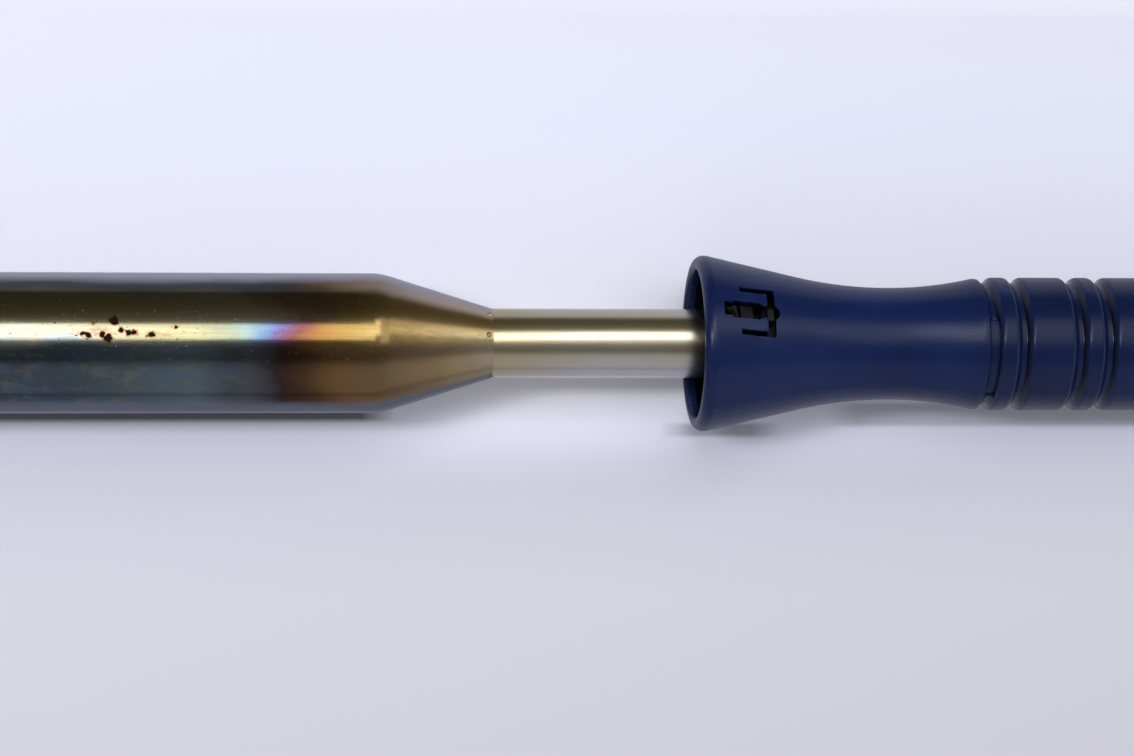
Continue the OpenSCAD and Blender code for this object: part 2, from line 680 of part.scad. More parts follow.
// Brass tubes in the block, one for each pole
module terminal_clamps() color(brass) placed()
    for (p = [-1, 0, 1]) translate([0, p * pole_y, 0]) difference() {
        rod(block_x0 + pole_inset, block_x0 + block_len - pole_inset, pole_r);
        rod(block_x0, block_x0 + block_len, pole_bore_r);
        for (x = pole_screw_x) post(block_x0 + x, 0, 0, pole_r + over, m25[0] + press_gap);
    }

// Two grub screws in each pole
module terminal_screws() color(bright) placed()
    for (p = [-1, 0, 1], x = pole_screw_x) difference() {
        post(block_x0 + x, p * pole_y, lead_r + fit_gap, block_top - grub_sunk, m25[0]);
        block(block_x0 + x - 2 * m25[0], block_x0 + x + 2 * m25[0],
              p * pole_y - driver_slot / 2, p * pole_y + driver_slot / 2,
              block_top - grub_sunk - driver_depth, block_top);
    }

module block_screw() color(bright) placed()
    small_screw(m25, lug_screw_x, 0, tray_z + lug_t + fit_gap, lug_t + lug_bite);

// Arched saddle that grips the mains cord's sheath
module cord_saddle() color("gainsboro") placed()
    difference() {
        intersection() {
            union() {
                rod(saddle_x0, saddle_x0 + saddle_len, saddle_r);
                block(saddle_x0, saddle_x0 + saddle_len, -saddle_screw_y - m2[1], saddle_screw_y + m2[1],
                      ear_z0, ear_z1);
            }
            block(saddle_x0 - over, saddle_x0 + saddle_len + over, -bore_r, bore_r, ear_z0, bore_r);
        }
        rod(saddle_x0 - over, saddle_x0 + saddle_len + over, saddle_in_r);
        for (s = [-1, 1])
            post(saddle_screw_x, s * saddle_screw_y, ear_z0 - over, ear_z1 + over, m2[0] + hole_gap);
    }

module saddle_screws() color(bright) placed()
    for (s = [-1, 1])
        small_screw(m2, saddle_screw_x, s * saddle_screw_y, ear_z1 + fit_gap, ear_z1 - tray_z - loose_gap);

// Rubber bush in the handle's end that guides the mains cord
module cord_inlet_bush() color(black) placed()
    turned([[bore_x1 - bush_flange_t, bush_bore_r], [handle_len + bush_out, bush_bore_r],
            [handle_len + bush_out, inlet_r - bush_edge], [handle_len + bush_out - bush_edge, inlet_r],
            [handle_len + bush_lip_t, inlet_r + bush_lip], [handle_len + fit_gap, inlet_r + bush_lip],
            [handle_len + fit_gap, inlet_r - fit_gap], [bore_x1 - fit_gap, inlet_r - fit_gap],
            [bore_x1 - fit_gap, inlet_r + bush_flange], [bore_x1 - bush_flange_t, inlet_r + bush_flange]]);

soldering_bit();
front_collar();
clamp_screw_left();
clamp_screw_right();
lock_washer_left();
lock_washer_right();
collar_screws();
barrel_shell();
bit_socket_tube();
socket_end_plug();
inner_mica_sleeve();
heating_coil();
outer_mica_sleeve();
fibre_blanket();
ceramic_disc();
joint_ferrule();
neck_tube();
lead_beads();
live_lead();
neutral_lead();
earth_lead();
earth_tag();
earth_screw();
retaining_clip();
neck_bushing();
handle_shell();
chassis_carrier();
chassis_screw();
terminal_block();
terminal_clamps();
terminal_screws();
block_screw();
cord_saddle();
saddle_screws();
cord_inlet_bush();
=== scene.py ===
"""Looks of an electric soldering iron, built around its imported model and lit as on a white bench."""

import bisect
import json
import logging
import math
from dataclasses import dataclass, field
from enum import Enum

import bmesh
import bpy
from mathutils import Matrix, Vector

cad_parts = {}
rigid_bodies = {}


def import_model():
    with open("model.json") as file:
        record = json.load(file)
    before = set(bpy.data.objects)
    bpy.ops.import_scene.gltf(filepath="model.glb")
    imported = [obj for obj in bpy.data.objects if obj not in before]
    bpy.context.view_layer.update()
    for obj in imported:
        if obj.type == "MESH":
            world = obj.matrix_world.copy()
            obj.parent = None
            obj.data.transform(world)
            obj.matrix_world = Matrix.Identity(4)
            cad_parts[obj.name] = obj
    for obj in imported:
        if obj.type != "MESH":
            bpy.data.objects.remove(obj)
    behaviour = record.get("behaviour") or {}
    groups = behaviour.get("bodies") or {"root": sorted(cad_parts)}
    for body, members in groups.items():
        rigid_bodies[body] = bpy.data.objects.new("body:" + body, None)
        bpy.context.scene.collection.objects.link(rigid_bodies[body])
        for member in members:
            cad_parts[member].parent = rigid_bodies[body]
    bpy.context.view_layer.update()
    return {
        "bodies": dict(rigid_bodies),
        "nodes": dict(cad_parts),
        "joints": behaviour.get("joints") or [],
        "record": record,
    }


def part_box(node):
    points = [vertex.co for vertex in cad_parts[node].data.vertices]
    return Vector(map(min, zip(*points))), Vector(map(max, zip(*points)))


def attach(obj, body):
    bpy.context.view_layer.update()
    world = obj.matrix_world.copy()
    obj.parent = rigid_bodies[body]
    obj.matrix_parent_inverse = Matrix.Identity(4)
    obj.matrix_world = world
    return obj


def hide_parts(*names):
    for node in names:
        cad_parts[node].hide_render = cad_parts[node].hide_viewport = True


LOG = logging.getLogger("soldering_iron")
MM = 0.001

MATH = "ShaderNodeMath"
RANGE = "ShaderNodeMapRange"
MIX = "ShaderNodeMix"
RAMP = "ShaderNodeValToRGB"

Profile = list[tuple[float, float]]


class Segments(Enum):
    """How many flat steps a full turn takes."""

    COARSE = 48
    FINE = 128


def srgb(code: str, alpha: float = 1.0) -> tuple[float, float, float, float]:
    """Turns an sRGB hex colour into the linear one that a shader takes.

    Args:
        code: Six hex digits, such as "d2c28d".
        alpha: Opacity.

    Returns:
        Linear red, green and blue, and the opacity.
    """
    parts = [int(code[i:i + 2], 16) / 255 for i in (0, 2, 4)]
    linear = [c / 12.92 if c <= 0.04045 else ((c + 0.055) / 1.055) ** 2.4 for c in parts]
    return (*linear, alpha)


def add_node(tree: bpy.types.NodeTree, kind: str, inputs: dict | tuple = (), output: int | str = 0,
             stops: list[tuple[float, str]] | None = None, **settings) -> bpy.types.NodeSocket | None:
    """Adds one node with its settings, values and links.

    Args:
        tree: The tree that gets the node.
        kind: The node's Blender type name.
        inputs: Values, hex colours or sockets, in the inputs' order or by their names or numbers.
        output: Which output is wanted.
        stops: Places and hex colours of a colour ramp.
        **settings: Attributes of the node itself.

    Returns:
        The wanted output, if the node has any.
    """
    node = tree.nodes.new(kind)
    for name, value in settings.items():
        setattr(node, name, value)
    for name, value in inputs.items() if isinstance(inputs, dict) else enumerate(inputs):
        if isinstance(value, bpy.types.NodeSocket):
            tree.links.new(value, node.inputs[name])
        else:
            node.inputs[name].default_value = srgb(value) if isinstance(value, str) else value
    if stops:
        elements = node.color_ramp.elements
        while len(elements) < len(stops):
            elements.new(0.5)
        for element, (place, code) in zip(elements, stops):
            element.position = place
            element.color = srgb(code)
    return node.outputs[output] if node.outputs else None


@dataclass
class Paint:
    """A material under construction: its tree, its shader and Object coordinates."""

    name: str
    material: bpy.types.Material = field(init=False)
    tree: bpy.types.NodeTree = field(init=False)
    shader: bpy.types.Node = field(init=False)
    place: bpy.types.NodeSocket = field(init=False)

    def __post_init__(self) -> None:
        """Makes an empty node material with a Principled shader."""
        self.material = bpy.data.materials.new(self.name)
        self.material.use_nodes = True
        self.tree = self.material.node_tree
        self.tree.nodes.clear()
        surface = self.add("ShaderNodeBsdfPrincipled")
        self.shader = surface.node
        self.add("ShaderNodeOutputMaterial", (surface,))
        self.place = self.add("ShaderNodeTexCoord", (), "Object")

    def add(self, kind: str, inputs: dict | tuple = (), output: int | str = 0, **settings) -> bpy.types.NodeSocket | None:
        """Adds a node to the material's tree, as add_node does."""
        return add_node(self.tree, kind, inputs, output, **settings)

    def grain(self, size_mm: tuple[float, float, float], detail: float = 2.0,
              roughness: float = 0.5) -> bpy.types.NodeSocket:
        """A random pattern whose grain has a real size along each axis.

        Args:
            size_mm: Grain along X, Y and Z.
            detail: Finer octaves.
            roughness: Strength of the finer octaves.

        Returns:
            A value from 0 to 1.
        """
        scaled = self.add("ShaderNodeMapping", {"Vector": self.place, "Scale": [1 / (s * MM) for s in size_mm]})
        return self.add("ShaderNodeTexNoise", {"Vector": scaled, "Scale": 1.0, "Detail": detail,
                                               "Roughness": roughness})

    def dress(self, *relief: tuple[bpy.types.NodeSocket, float], **values) -> bpy.types.Material:
        """Sets or links the shader's inputs and stacks reliefs.

        Args:
            *relief: Heights from 0 to 1 and their depths in millimetres.
            **values: Numbers, colours or sockets by the inputs' names, with underscores for spaces.

        Returns:
            The finished material.
        """
        for height, depth_mm in relief:
            below = {"Normal": values["Normal"]} if "Normal" in values else {}
            values["Normal"] = self.add("ShaderNodeBump", {"Height": height, "Strength": 1.0,
                                                           "Distance": depth_mm * MM, **below})
        for name, value in values.items():
            socket = self.shader.inputs[name.replace("_", " ")]
            if isinstance(value, bpy.types.NodeSocket):
                self.tree.links.new(value, socket)
            else:
                socket.default_value = value
        return self.material


@dataclass(frozen=True)
class Iron:
    """Places that the pieces share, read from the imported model, in metres."""

    axis_z: float
    barrel_x: tuple[float, float]
    barrel_r: float
    neck_x: tuple[float, float]
    neck_r: float
    handle_x: tuple[float, float]
    flare_r: float

    @staticmethod
    def read() -> "Iron":
        """Reads the places from the boxes of the barrel, the neck and the handle."""
        barrel, neck, handle = (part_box(n) for n in ("barrel_shell", "neck_tube", "handle_shell"))
        return Iron(
            axis_z=(handle[0].z + handle[1].z) / 2,
            barrel_x=(barrel[0].x, barrel[1].x),
            barrel_r=(barrel[1].z - barrel[0].z) / 2,
            neck_x=(neck[0].x, neck[1].x),
            neck_r=(neck[1].z - neck[0].z) / 2,
            handle_x=(handle[0].x, handle[1].x),
            flare_r=(handle[1].z - handle[0].z) / 2,
        )

    def place(self, points: Profile) -> Profile:
        """Moves points in millimetres behind the flare's front to metres in the frame."""
        return [(self.handle_x[0] + x * MM, r * MM) for x, r in points]

    def outwards(self, x: float, deg: float) -> Matrix:
        """Turns millimetres, with +Z away from the axis, to the frame at a place and an angle from the top."""
        return (Matrix.Translation((self.handle_x[0] + x * MM, 0, self.axis_z))
                @ Matrix.Rotation(math.radians(-deg), 4, "X") @ Matrix.Scale(MM, 4))


class Finish(Enum):
    """The finishes, by their names in the record."""

    STAINLESS = "stainless"
    COPPER = "copper"
    PLAIN_STEEL = "plain_steel"
    ZINC = "zinc_plate"
    WIRE = "resistance_wire"
    MICA = "mica"
    FIBRE = "fibre"
    CERAMIC = "ceramic"
    LIVE = "live_sleeve"
    NEUTRAL = "neutral_sleeve"
    EARTH = "earth_sleeve"
    BRASS = "brass"
    BUSHING = "bushing_plastic"
    HANDLE = "handle_plastic"
    CARRIER = "carrier_plastic"
    RUBBER = "black_rubber"


# Oxide colours along the barrel, as places in millimetres of the frame's X, for four strips that
# run along it: its lower side, its crown, the strip above that and its upper side. How light the
# strips are is partly painted light: the crown strip is a painted highlight where the lamp's
# reflection falls, and the olive strip above it is a painted reflection band
LOWER_TINT = [(-140, "404955"), (-96, "434c55"), (-69, "58646a"), (-60, "464b52"), (-55.5, "4a4f55"),
              (-51.5, "43444a"), (-47.5, "382b2a"), (-44.5, "3e2d27"), (-39, "4f3928"), (-32, "705538"),
              (-23, "715e46"), (-12, "857057"), (-9, "8a785e"), (-5, "908068"), (-1, "978b78")]
CROWN_TINT_AND_HIGHLIGHT = [(-142, "7c7c72"), (-108, "8a887a"), (-66, "807c5f"), (-61, "71735f"), (-57, "687672"),
              (-52.6, "4c627a"), (-49.9, "4b496e"), (-47, "553a4c"), (-43.6, "593533"), (-37, "6f502b"),
              (-30.3, "735f37"), (-25.7, "84704a"), (-12.7, "96835f"), (-1, "a39474")]
OLIVE_TINT_AND_REFLECTION = [(-141, "66624f"), (-69.5, "6f6856"), (-56, "6f6c60"), (-47, "5e4e47"), (-40, "5c4e3e"),
              (-33, "6b5d3e"), (-19, "8b7350"), (-1, "a48e66")]
UPPER_TINT = [(-139, "444447"), (-67.5, "434546"), (-54.5, "3c4145"), (-45.5, "393837"), (-38.5, "524434"),
              (-31, "78654f"), (-18, "968c82"), (-1, "a89a88")]
# Burnt-on spots on the crown: place in millimetres, angle from the top and radius
SOOT = [(-91.5, 6.8, 0.44), (-90.4, 5.2, 0.66), (-87.1, 6.0, 0.66), (-86.0, 2.9, 1.0), (-84.7, 17.4, 1.0),
        (-89.3, 14.9, 0.33), (-83.2, 9.2, 0.55), (-81.6, 7.6, 0.66), (-80.1, 7.6, 0.66), (-76.4, 6.0, 0.67),
        (-77.5, 4.5, 0.25), (-71.1, 12.1, 0.3)]


@dataclass(frozen=True)
class HeatTintedStainless:
    """Drawn stainless tube that was run hot: straw, blue and red oxide bands under fine draw lines, with a painted
    highlight along its crown and painted reflection bands round it.
    """

    iron: Iron
    halo: float = 0.35

    def spots(self, paint: Paint, tree_input: bpy.types.NodeSocket) -> bpy.types.NodeSocket:
        """How deep a point lies inside the nearest burnt-on spot.

        Args:
            paint: The material under construction.
            tree_input: A small length that makes the spots' edges uneven.

        Returns:
            0 outside the spots and 1 in them.
        """
        found = None
        for x, deg, r in SOOT:
            a = math.radians(deg)
            middle = (x * MM, self.iron.barrel_r * math.sin(a), self.iron.axis_z + self.iron.barrel_r * math.cos(a))
            far = paint.add("ShaderNodeVectorMath", (paint.place, middle), "Value", operation="DISTANCE")
            rough = paint.add(MATH, (far, tree_input), operation="ADD")
            inside = paint.add(RANGE, (rough, (r + self.halo) * MM, (r - 0.12) * MM))
            found = paint.add(MATH, (found, inside), operation="MAXIMUM") if found else inside
        return found

    def make(self) -> bpy.types.Material:
        """Makes the material.

        Returns:
            The material.
        """
        paint = Paint("heat_tinted_stainless")
        split = paint.add("ShaderNodeSeparateXYZ", (paint.place,)).node.outputs
        waver = paint.grain((26, 9, 9), 3.0)
        along = paint.add(MATH, (split["X"], paint.add(RANGE, (waver, 0.3, 0.7, -0.004, 0.004))), operation="ADD")
        far, near = self.iron.barrel_x
        share = paint.add(RANGE, (along, far, near))
        height = paint.add(MATH, (split["Z"], self.iron.axis_z), operation="SUBTRACT")
        turned = paint.add(MATH, (split["Y"], height), operation="ARCTAN2")
        angle = paint.add(MATH, (turned, 180 / math.pi, paint.add(RANGE, (waver, 0.3, 0.7, -3, 3))),
                          operation="MULTIPLY_ADD")
        # The crown strip's lightness is a painted highlight and the olive strip's a painted reflection band; the oxide
        # hues along X are the tube's own
        low, crown_and_highlight, olive_and_reflection, upper = (
            paint.add(RAMP, (share,), stops=[((x * MM - far) / (near - far), code) for x, code in stops])
            for stops in (LOWER_TINT, CROWN_TINT_AND_HIGHLIGHT, OLIVE_TINT_AND_REFLECTION, UPPER_TINT))
        # Blue patches and straw wisps on the lower side, bluish patches and streaks on the crown
        patch = paint.add(RANGE, (paint.grain((6, 4, 4), 4.0, 0.6), 0.50, 0.66))
        front = paint.add(RANGE, (along, -0.052, -0.062, 0.0, 0.6))
        wisp = paint.add(RANGE, (paint.grain((7, 3.5, 4), 5.0, 0.7), 0.52, 0.66, 0.0, 0.5))
        wisp = paint.add(MATH, (wisp, paint.add(RANGE, (along, -0.052, -0.066))), operation="MULTIPLY")
        edge = paint.add(RANGE, (angle, 7, 2))
        cool = paint.add(RANGE, (paint.grain((11, 4, 4), 2.0), 0.48, 0.60, 0.0, 0.5))
        streak = paint.add(RANGE, (paint.grain((22, 0.7, 0.7), 2.0), 0.35, 0.65, 0.0, 0.4))
        blue = paint.add(MATH, (patch, front), operation="MULTIPLY")
        low = paint.add(MIX, {0: blue, 6: low, 7: "4a5f7c"}, 2, data_type="RGBA")
        low = paint.add(MIX, {0: wisp, 6: low, 7: "6f6b58"}, 2, data_type="RGBA")
        cool = paint.add(MATH, (paint.add(MATH, (edge, cool), operation="MULTIPLY"),
                                paint.add(RANGE, (along, -0.060, -0.066))), operation="MULTIPLY")
        crown_and_highlight = paint.add(MIX, {0: cool, 6: crown_and_highlight, 7: "6f8694"}, 2, data_type="RGBA")
        crown_and_highlight = paint.add(MIX, {0: streak, 6: crown_and_highlight, 7: "d6d2c4"}, 2, data_type="RGBA", blend_type="MULTIPLY")
        colour = low
        # Strips by angle from the top. The light grey bands at the lower and upper edges are painted reflections of the
        # pale floor, and the near-black band at the very bottom is a painted contact shadow
        for start, end, strip in ((-5, 1, crown_and_highlight), (12, 20, olive_and_reflection), (41, 51, upper), (-54, -66, "676c74"),
                                  (-80, -86, "1b1c20"), (56, 72, "a6a6aa")):
            colour = paint.add(MIX, {0: paint.add(RANGE, (angle, start, end)), 6: colour, 7: strip}, 2,
                               data_type="RGBA")
        # Soot: burnt-on spots, and fine specks on the crown around them
        spots = self.spots(paint, paint.add(RANGE, (paint.grain((1.1, 1.1, 1.1)), 0.3, 0.7, -0.00028, 0.00028)))
        speck = paint.add(RANGE, (paint.grain((1.4, 1.1, 1.1), 3.0, 0.7), 0.64, 0.67))
        for value, start, end in ((along, -0.118, -0.100), (along, -0.050, -0.070), (angle, -3, 0),
                                  (angle, 21, 16)):
            speck = paint.add(MATH, (speck, paint.add(RANGE, (value, start, end))), operation="MULTIPLY")
        # The punched marks are darkened nearly black along with the soot
        pit = paint.add("ShaderNodeAttribute", (), "Fac", attribute_name="pit")
        soot_and_pits = paint.add(MATH, (paint.add(MATH, (speck, pit), operation="MAXIMUM"), spots), operation="MAXIMUM")
        burn = paint.add(RANGE, (paint.grain((6, 2.5, 2.5), 3.0, 0.6), 0.52, 0.66, 0.0, 0.55))
        for value, start, end in ((along, -0.104, -0.095), (along, -0.066, -0.074), (angle, -1, 1), (angle, 14, 9)):
            burn = paint.add(MATH, (burn, paint.add(RANGE, (value, start, end))), operation="MULTIPLY")
        burn = paint.add(MATH, (burn, paint.add(RANGE, (soot_and_pits, 0.0, 0.35, 0.0, 0.6))), operation="MAXIMUM")
        colour = paint.add(MIX, {0: burn, 6: colour, 7: "6e3d1c"}, 2, data_type="RGBA")
        soot_and_pits = paint.add(RANGE, (soot_and_pits, 0.7, 0.95))
        grain = paint.grain((9, 0.12, 0.12))
        pits = paint.add(RANGE, (paint.grain((0.5, 0.35, 0.35), 1.0), 0.80, 0.72))
        cone = paint.add(RANGE, (along, -0.031, -0.022, 0.0, 0.09))
        rough = paint.add(MATH, (paint.add(RANGE, (grain, 0.3, 0.7, 0.11, 0.17)), cone), operation="ADD")
        rough = paint.add(MATH, (soot_and_pits, 0.4, rough), operation="MULTIPLY_ADD")
        colour = paint.add(MIX, {0: soot_and_pits, 6: colour, 7: "1c120c"}, 2, data_type="RGBA")
        return paint.dress((grain, 0.004), (pits, 0.02), Metallic=1.0, Base_Color=colour, Roughness=rough,
                           Specular_Tint=srgb("cbcbcf"))


@dataclass(frozen=True)
class DrawnStainless:
    """Cold-drawn stainless tube, bright, with light straw colour and long fine draw lines, and its lower side painted a
    cooler grey as a painted reflection.
    """

    iron: Iron

    def make(self) -> bpy.types.Material:
        """Makes the material.

        Returns:
            The material.
        """
        paint = Paint("drawn_stainless")
        split = paint.add("ShaderNodeSeparateXYZ", (paint.place,)).node.outputs
        grain = paint.grain((12, 0.15, 0.15))
        straw = paint.add(RAMP, (paint.grain((14, 6, 6)),), stops=[(0.3, "aba28b"), (0.7, "aea89c")])
        # The lower side is painted a cooler grey: a painted reflection of the pale bluish floor below
        side = paint.add(RANGE, (split["Y"], -0.0015, -0.006))
        colour = paint.add(MIX, {0: side, 6: straw, 7: "aeacae"}, 2, data_type="RGBA")
        hot = paint.add(RANGE, (split["X"], 0.022, -0.002, 0.0, 0.8))
        colour = paint.add(MIX, {0: hot, 6: colour, 7: "a3946f"}, 2, data_type="RGBA")
        pit = paint.add("ShaderNodeAttribute", (), "Fac", attribute_name="pit")
        colour = paint.add(MIX, {0: pit, 6: colour, 7: "120e0a"}, 2, data_type="RGBA")
        return paint.dress((grain, 0.005), Metallic=1.0, Base_Color=colour,
                           Roughness=paint.add(RANGE, (grain, 0.3, 0.7, 0.20, 0.26)))


@dataclass(frozen=True)
class NavyMoulding:
    """Satin navy thermoset: a fine moulded skin, darker over the grip, and painted shade in its cuts."""

    grip_x: tuple[float, float] = (0.108, 0.124)

    def make(self) -> bpy.types.Material:
        """Makes the material.

        Returns:
            The material.
        """
        paint = Paint("satin_navy_moulding")
        split = paint.add("ShaderNodeSeparateXYZ", (paint.place,)).node.outputs
        cloud = paint.add(RANGE, (paint.grain((18, 18, 18), 3.0), 0.05, 0.95), interpolation_type="SMOOTHSTEP")
        navy = paint.add(RAMP, (cloud,), stops=[(0.0, "08163a"), (1.0, "0f2150")])
        # The grip is made darker
        grip_share = paint.add(RANGE, (split["X"], *self.grip_x, 0.0, 0.5))
        navy = paint.add(MIX, {0: grip_share, 6: navy, 7: "061130"}, 2, data_type="RGBA")
        # Painted shade: deep cuts and the grooves' walls that face the bit are darkened nearly black and made smoother
        depth = paint.add("ShaderNodeAttribute", (), "Fac", attribute_name="depth")
        painted_shade = paint.add(RANGE, (depth, 0.25, 1.2))
        colour = paint.add(MIX, {0: painted_shade, 6: navy, 7: "040509"}, 2, data_type="RGBA")
        facing = paint.add("ShaderNodeLayerWeight", {"Blend": 0.5}, "Facing")
        rough = paint.add(MATH, (paint.add(RANGE, (cloud, 0.0, 1.0, 0.22, 0.29)),
                                 paint.add(RANGE, (facing, 0.3, 1.0, 0.0, 0.15), interpolation_type="SMOOTHSTEP")), operation="ADD")
        rough = paint.add(MIX, {0: painted_shade, 2: rough, 3: 0.14}, data_type="FLOAT")
        return paint.dress((paint.grain((0.35, 0.35, 0.35)), 0.012), Base_Color=colour, Roughness=rough,
                           IOR=1.3, Specular_IOR_Level=0.44)


@dataclass(frozen=True)
class TinnedCopper:
    """Forged copper bar with a tinned working end: bright solder in front, dark scale behind it."""

    tip_x: float

    def make(self) -> bpy.types.Material:
        """Makes the material.

        Returns:
            The material.
        """
        paint = Paint("tinned_copper")
        split = paint.add("ShaderNodeSeparateXYZ", (paint.place,)).node.outputs
        cloud = paint.grain((6, 5, 5), 3.0)
        scale = paint.grain((1.6, 1.2, 1.2), 4.0, 0.6)
        copper = paint.add(RAMP, (cloud,), stops=[(0.3, "3a2117"), (0.55, "7c4630"), (0.75, "a3603f")])
        flake = paint.add(RANGE, (scale, 0.50, 0.58, 0.0, 0.7))
        copper = paint.add(MIX, {0: flake, 6: copper, 7: "201613"}, 2, data_type="RGBA")
        reach = paint.add(MATH, (cloud, 0.012, split["X"]), operation="MULTIPLY_ADD")
        tinned = paint.add(RANGE, (reach, self.tip_x + 0.0265, self.tip_x + 0.0245))
        solder = paint.add(RAMP, (scale,), stops=[(0.35, "8f8e8a"), (0.7, "c2c1bd")])
        colour = paint.add(MIX, {0: tinned, 6: copper, 7: solder}, 2, data_type="RGBA")
        rough = paint.add(MIX, {0: tinned, 2: paint.add(RANGE, (scale, 0.3, 0.7, 0.42, 0.62)),
                                3: paint.add(RANGE, (scale, 0.3, 0.7, 0.18, 0.32))}, data_type="FLOAT")
        return paint.dress((scale, 0.06), (cloud, 0.25), Metallic=1.0, Base_Color=colour, Roughness=rough)


@dataclass(frozen=True)
class Speckled:
    """A cast, fired, pressed or moulded finish with cloudy colour and a fine grain."""

    name: str
    low: str
    high: str
    grain_mm: float
    rough: tuple[float, float]
    metallic: float = 0.0
    depth_mm: float = 0.01
    shine: float = 0.5

    def make(self) -> bpy.types.Material:
        """Makes the material.

        Returns:
            The material.
        """
        paint = Paint(self.name)
        cloud = paint.grain((self.grain_mm * 12,) * 3, 3.0)
        return paint.dress((paint.grain((self.grain_mm,) * 3), self.depth_mm), Metallic=self.metallic,
                           Base_Color=paint.add(RAMP, (cloud,), stops=[(0.3, self.low), (0.7, self.high)]),
                           Roughness=paint.add(RANGE, (cloud, 0.3, 0.7, *self.rough)),
                           Specular_IOR_Level=self.shine)


@dataclass(frozen=True)
class Sleeving:
    """Braided glass-fibre sleeving: a tight diagonal braid of dull threads, drawn at twice its real pitch."""

    name: str
    low: str
    high: str

    def make(self) -> bpy.types.Material:
        """Makes the material.

        Returns:
            The material.
        """
        paint = Paint(self.name)
        threads = paint.add("ShaderNodeTexWave", {"Vector": paint.place, "Scale": 1 / (1.6 * MM)}, "Fac",
                            bands_direction="DIAGONAL")
        return paint.dress((threads, 0.08), Roughness=0.85,
                           Base_Color=paint.add(RAMP, (threads,), stops=[(0.2, self.low), (0.8, self.high)]))


def make_finishes(iron: Iron) -> dict[Finish, bpy.types.Material]:
    """Makes one material for each finish of the record.

    Args:
        iron: The shared places.

    Returns:
        The materials by finish.
    """
    recipes = {
        # Stainless tube, cold drawn and then run hot: mirror streaks with rainbow oxide bands
        Finish.STAINLESS: HeatTintedStainless(iron),
        # Copper bar, forged and filed: dull red-brown under dark scale, silvery where it is tinned
        Finish.COPPER: TinnedCopper(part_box("soldering_bit")[0].x),
        # Bare mild steel, turned and pressed: plain grey with a soft shine
        Finish.PLAIN_STEEL: Speckled("bare_steel", "6e6c68", "8a8883", 0.2, (0.3, 0.45), 1.0),
        # Zinc plate on steel screws: pale and bright with a faint cloud
        Finish.ZINC: Speckled("zinc_plate", "a4a6a8", "c9cbcc", 0.2, (0.24, 0.36), 1.0),
        # Resistance wire that has glowed: dark matt oxide on metal
        Finish.WIRE: Speckled("oxidised_resistance_wire", "4c4743", "6b645d", 0.1, (0.45, 0.6), 1.0),
        # Bonded mica sheet: golden flakes with a waxy shine
        Finish.MICA: Speckled("bonded_mica", "a08a5e", "c6b184", 0.4, (0.3, 0.5)),
        # Glass-fibre mat: white, matt and fluffy
        Finish.FIBRE: Speckled("glass_fibre_mat", "cfccc2", "efeee8", 0.25, (0.85, 0.95), 0.0, 0.15),
        # Fired steatite: cream with a dull glaze
        Finish.CERAMIC: Speckled("fired_steatite", "ddd8ca", "efebe0", 0.15, (0.45, 0.6)),
        # Braided sleeving in the three colours of mains wiring: dull threads
        Finish.LIVE: Sleeving("brown_sleeving", "4e2412", "7e4424"),
        Finish.NEUTRAL: Sleeving("blue_sleeving", "1c3f94", "3d66c4"),
        Finish.EARTH: Sleeving("green_yellow_sleeving", "3f7a22", "b9c23c"),
        # Turned brass: warm yellow with a clean shine
        Finish.BRASS: Speckled("turned_brass", "b08f4a", "d0b064", 0.15, (0.2, 0.35), 1.0),
        # Glass-filled nylon, moulded: near black, dull and faintly grained
        Finish.BUSHING: Speckled("black_heatproof_moulding", "09090a", "111112", 0.3, (0.5, 0.65), shine=0.2),
        # Navy thermoset, compression moulded: satin, with a soft wide highlight
        Finish.HANDLE: NavyMoulding(),
        # Off-white thermoplastic, moulded: plain with a faint shine
        Finish.CARRIER: Speckled("off_white_moulding", "c8c5ba", "dbd8cf", 0.3, (0.4, 0.5)),
        # Black rubber, moulded: matt and soft at its edges
        Finish.RUBBER: Speckled("moulded_rubber", "0e0e0f", "1c1c1d", 0.3, (0.6, 0.75)),
    }
    return {finish: recipe.make() for finish, recipe in recipes.items()}


def bake(thing: bpy.types.Object) -> None:
    """Turns an object's modifiers into plain mesh and removes them."""
    bpy.context.view_layer.update()
    graph = bpy.context.evaluated_depsgraph_get()
    made = bpy.data.meshes.new_from_object(thing.evaluated_get(graph), depsgraph=graph)
    thing.modifiers.clear()
    old = thing.data
    thing.data = made
    bpy.data.meshes.remove(old)


def link_object(name: str, shape: bmesh.types.BMesh, material: bpy.types.Material | None = None,
                smooth_deg: float = 35.0) -> bpy.types.Object:
    """Turns a bmesh into a linked object with smooth shading that stops at sharp edges.

    Args:
        name: The piece's name.
        shape: The shape, which is freed.
        material: Its material, if it has one.
        smooth_deg: Edges that turn more than this stay sharp.

    Returns:
        The object.
    """
    mesh = bpy.data.meshes.new(name)
    shape.to_mesh(mesh)
    shape.free()
    if material:
        mesh.materials.append(material)
    thing = bpy.data.objects.new(name, mesh)
    bpy.context.scene.collection.objects.link(thing)
    mesh.shade_smooth()
    mesh.set_sharp_from_angle(angle=math.radians(smooth_deg))
    return thing


def arc(centre: tuple[float, float], radii: tuple[float, float], start: float, end: float, steps: int) -> Profile:
    """Points of an elliptic arc, as places along the axis and radii, with angles in degrees."""
    found = []
    for i in range(steps + 1):
        a = math.radians(start + (end - start) * i / steps)
        found.append((centre[0] + radii[0] * math.cos(a), centre[1] + radii[1] * math.sin(a)))
    return found


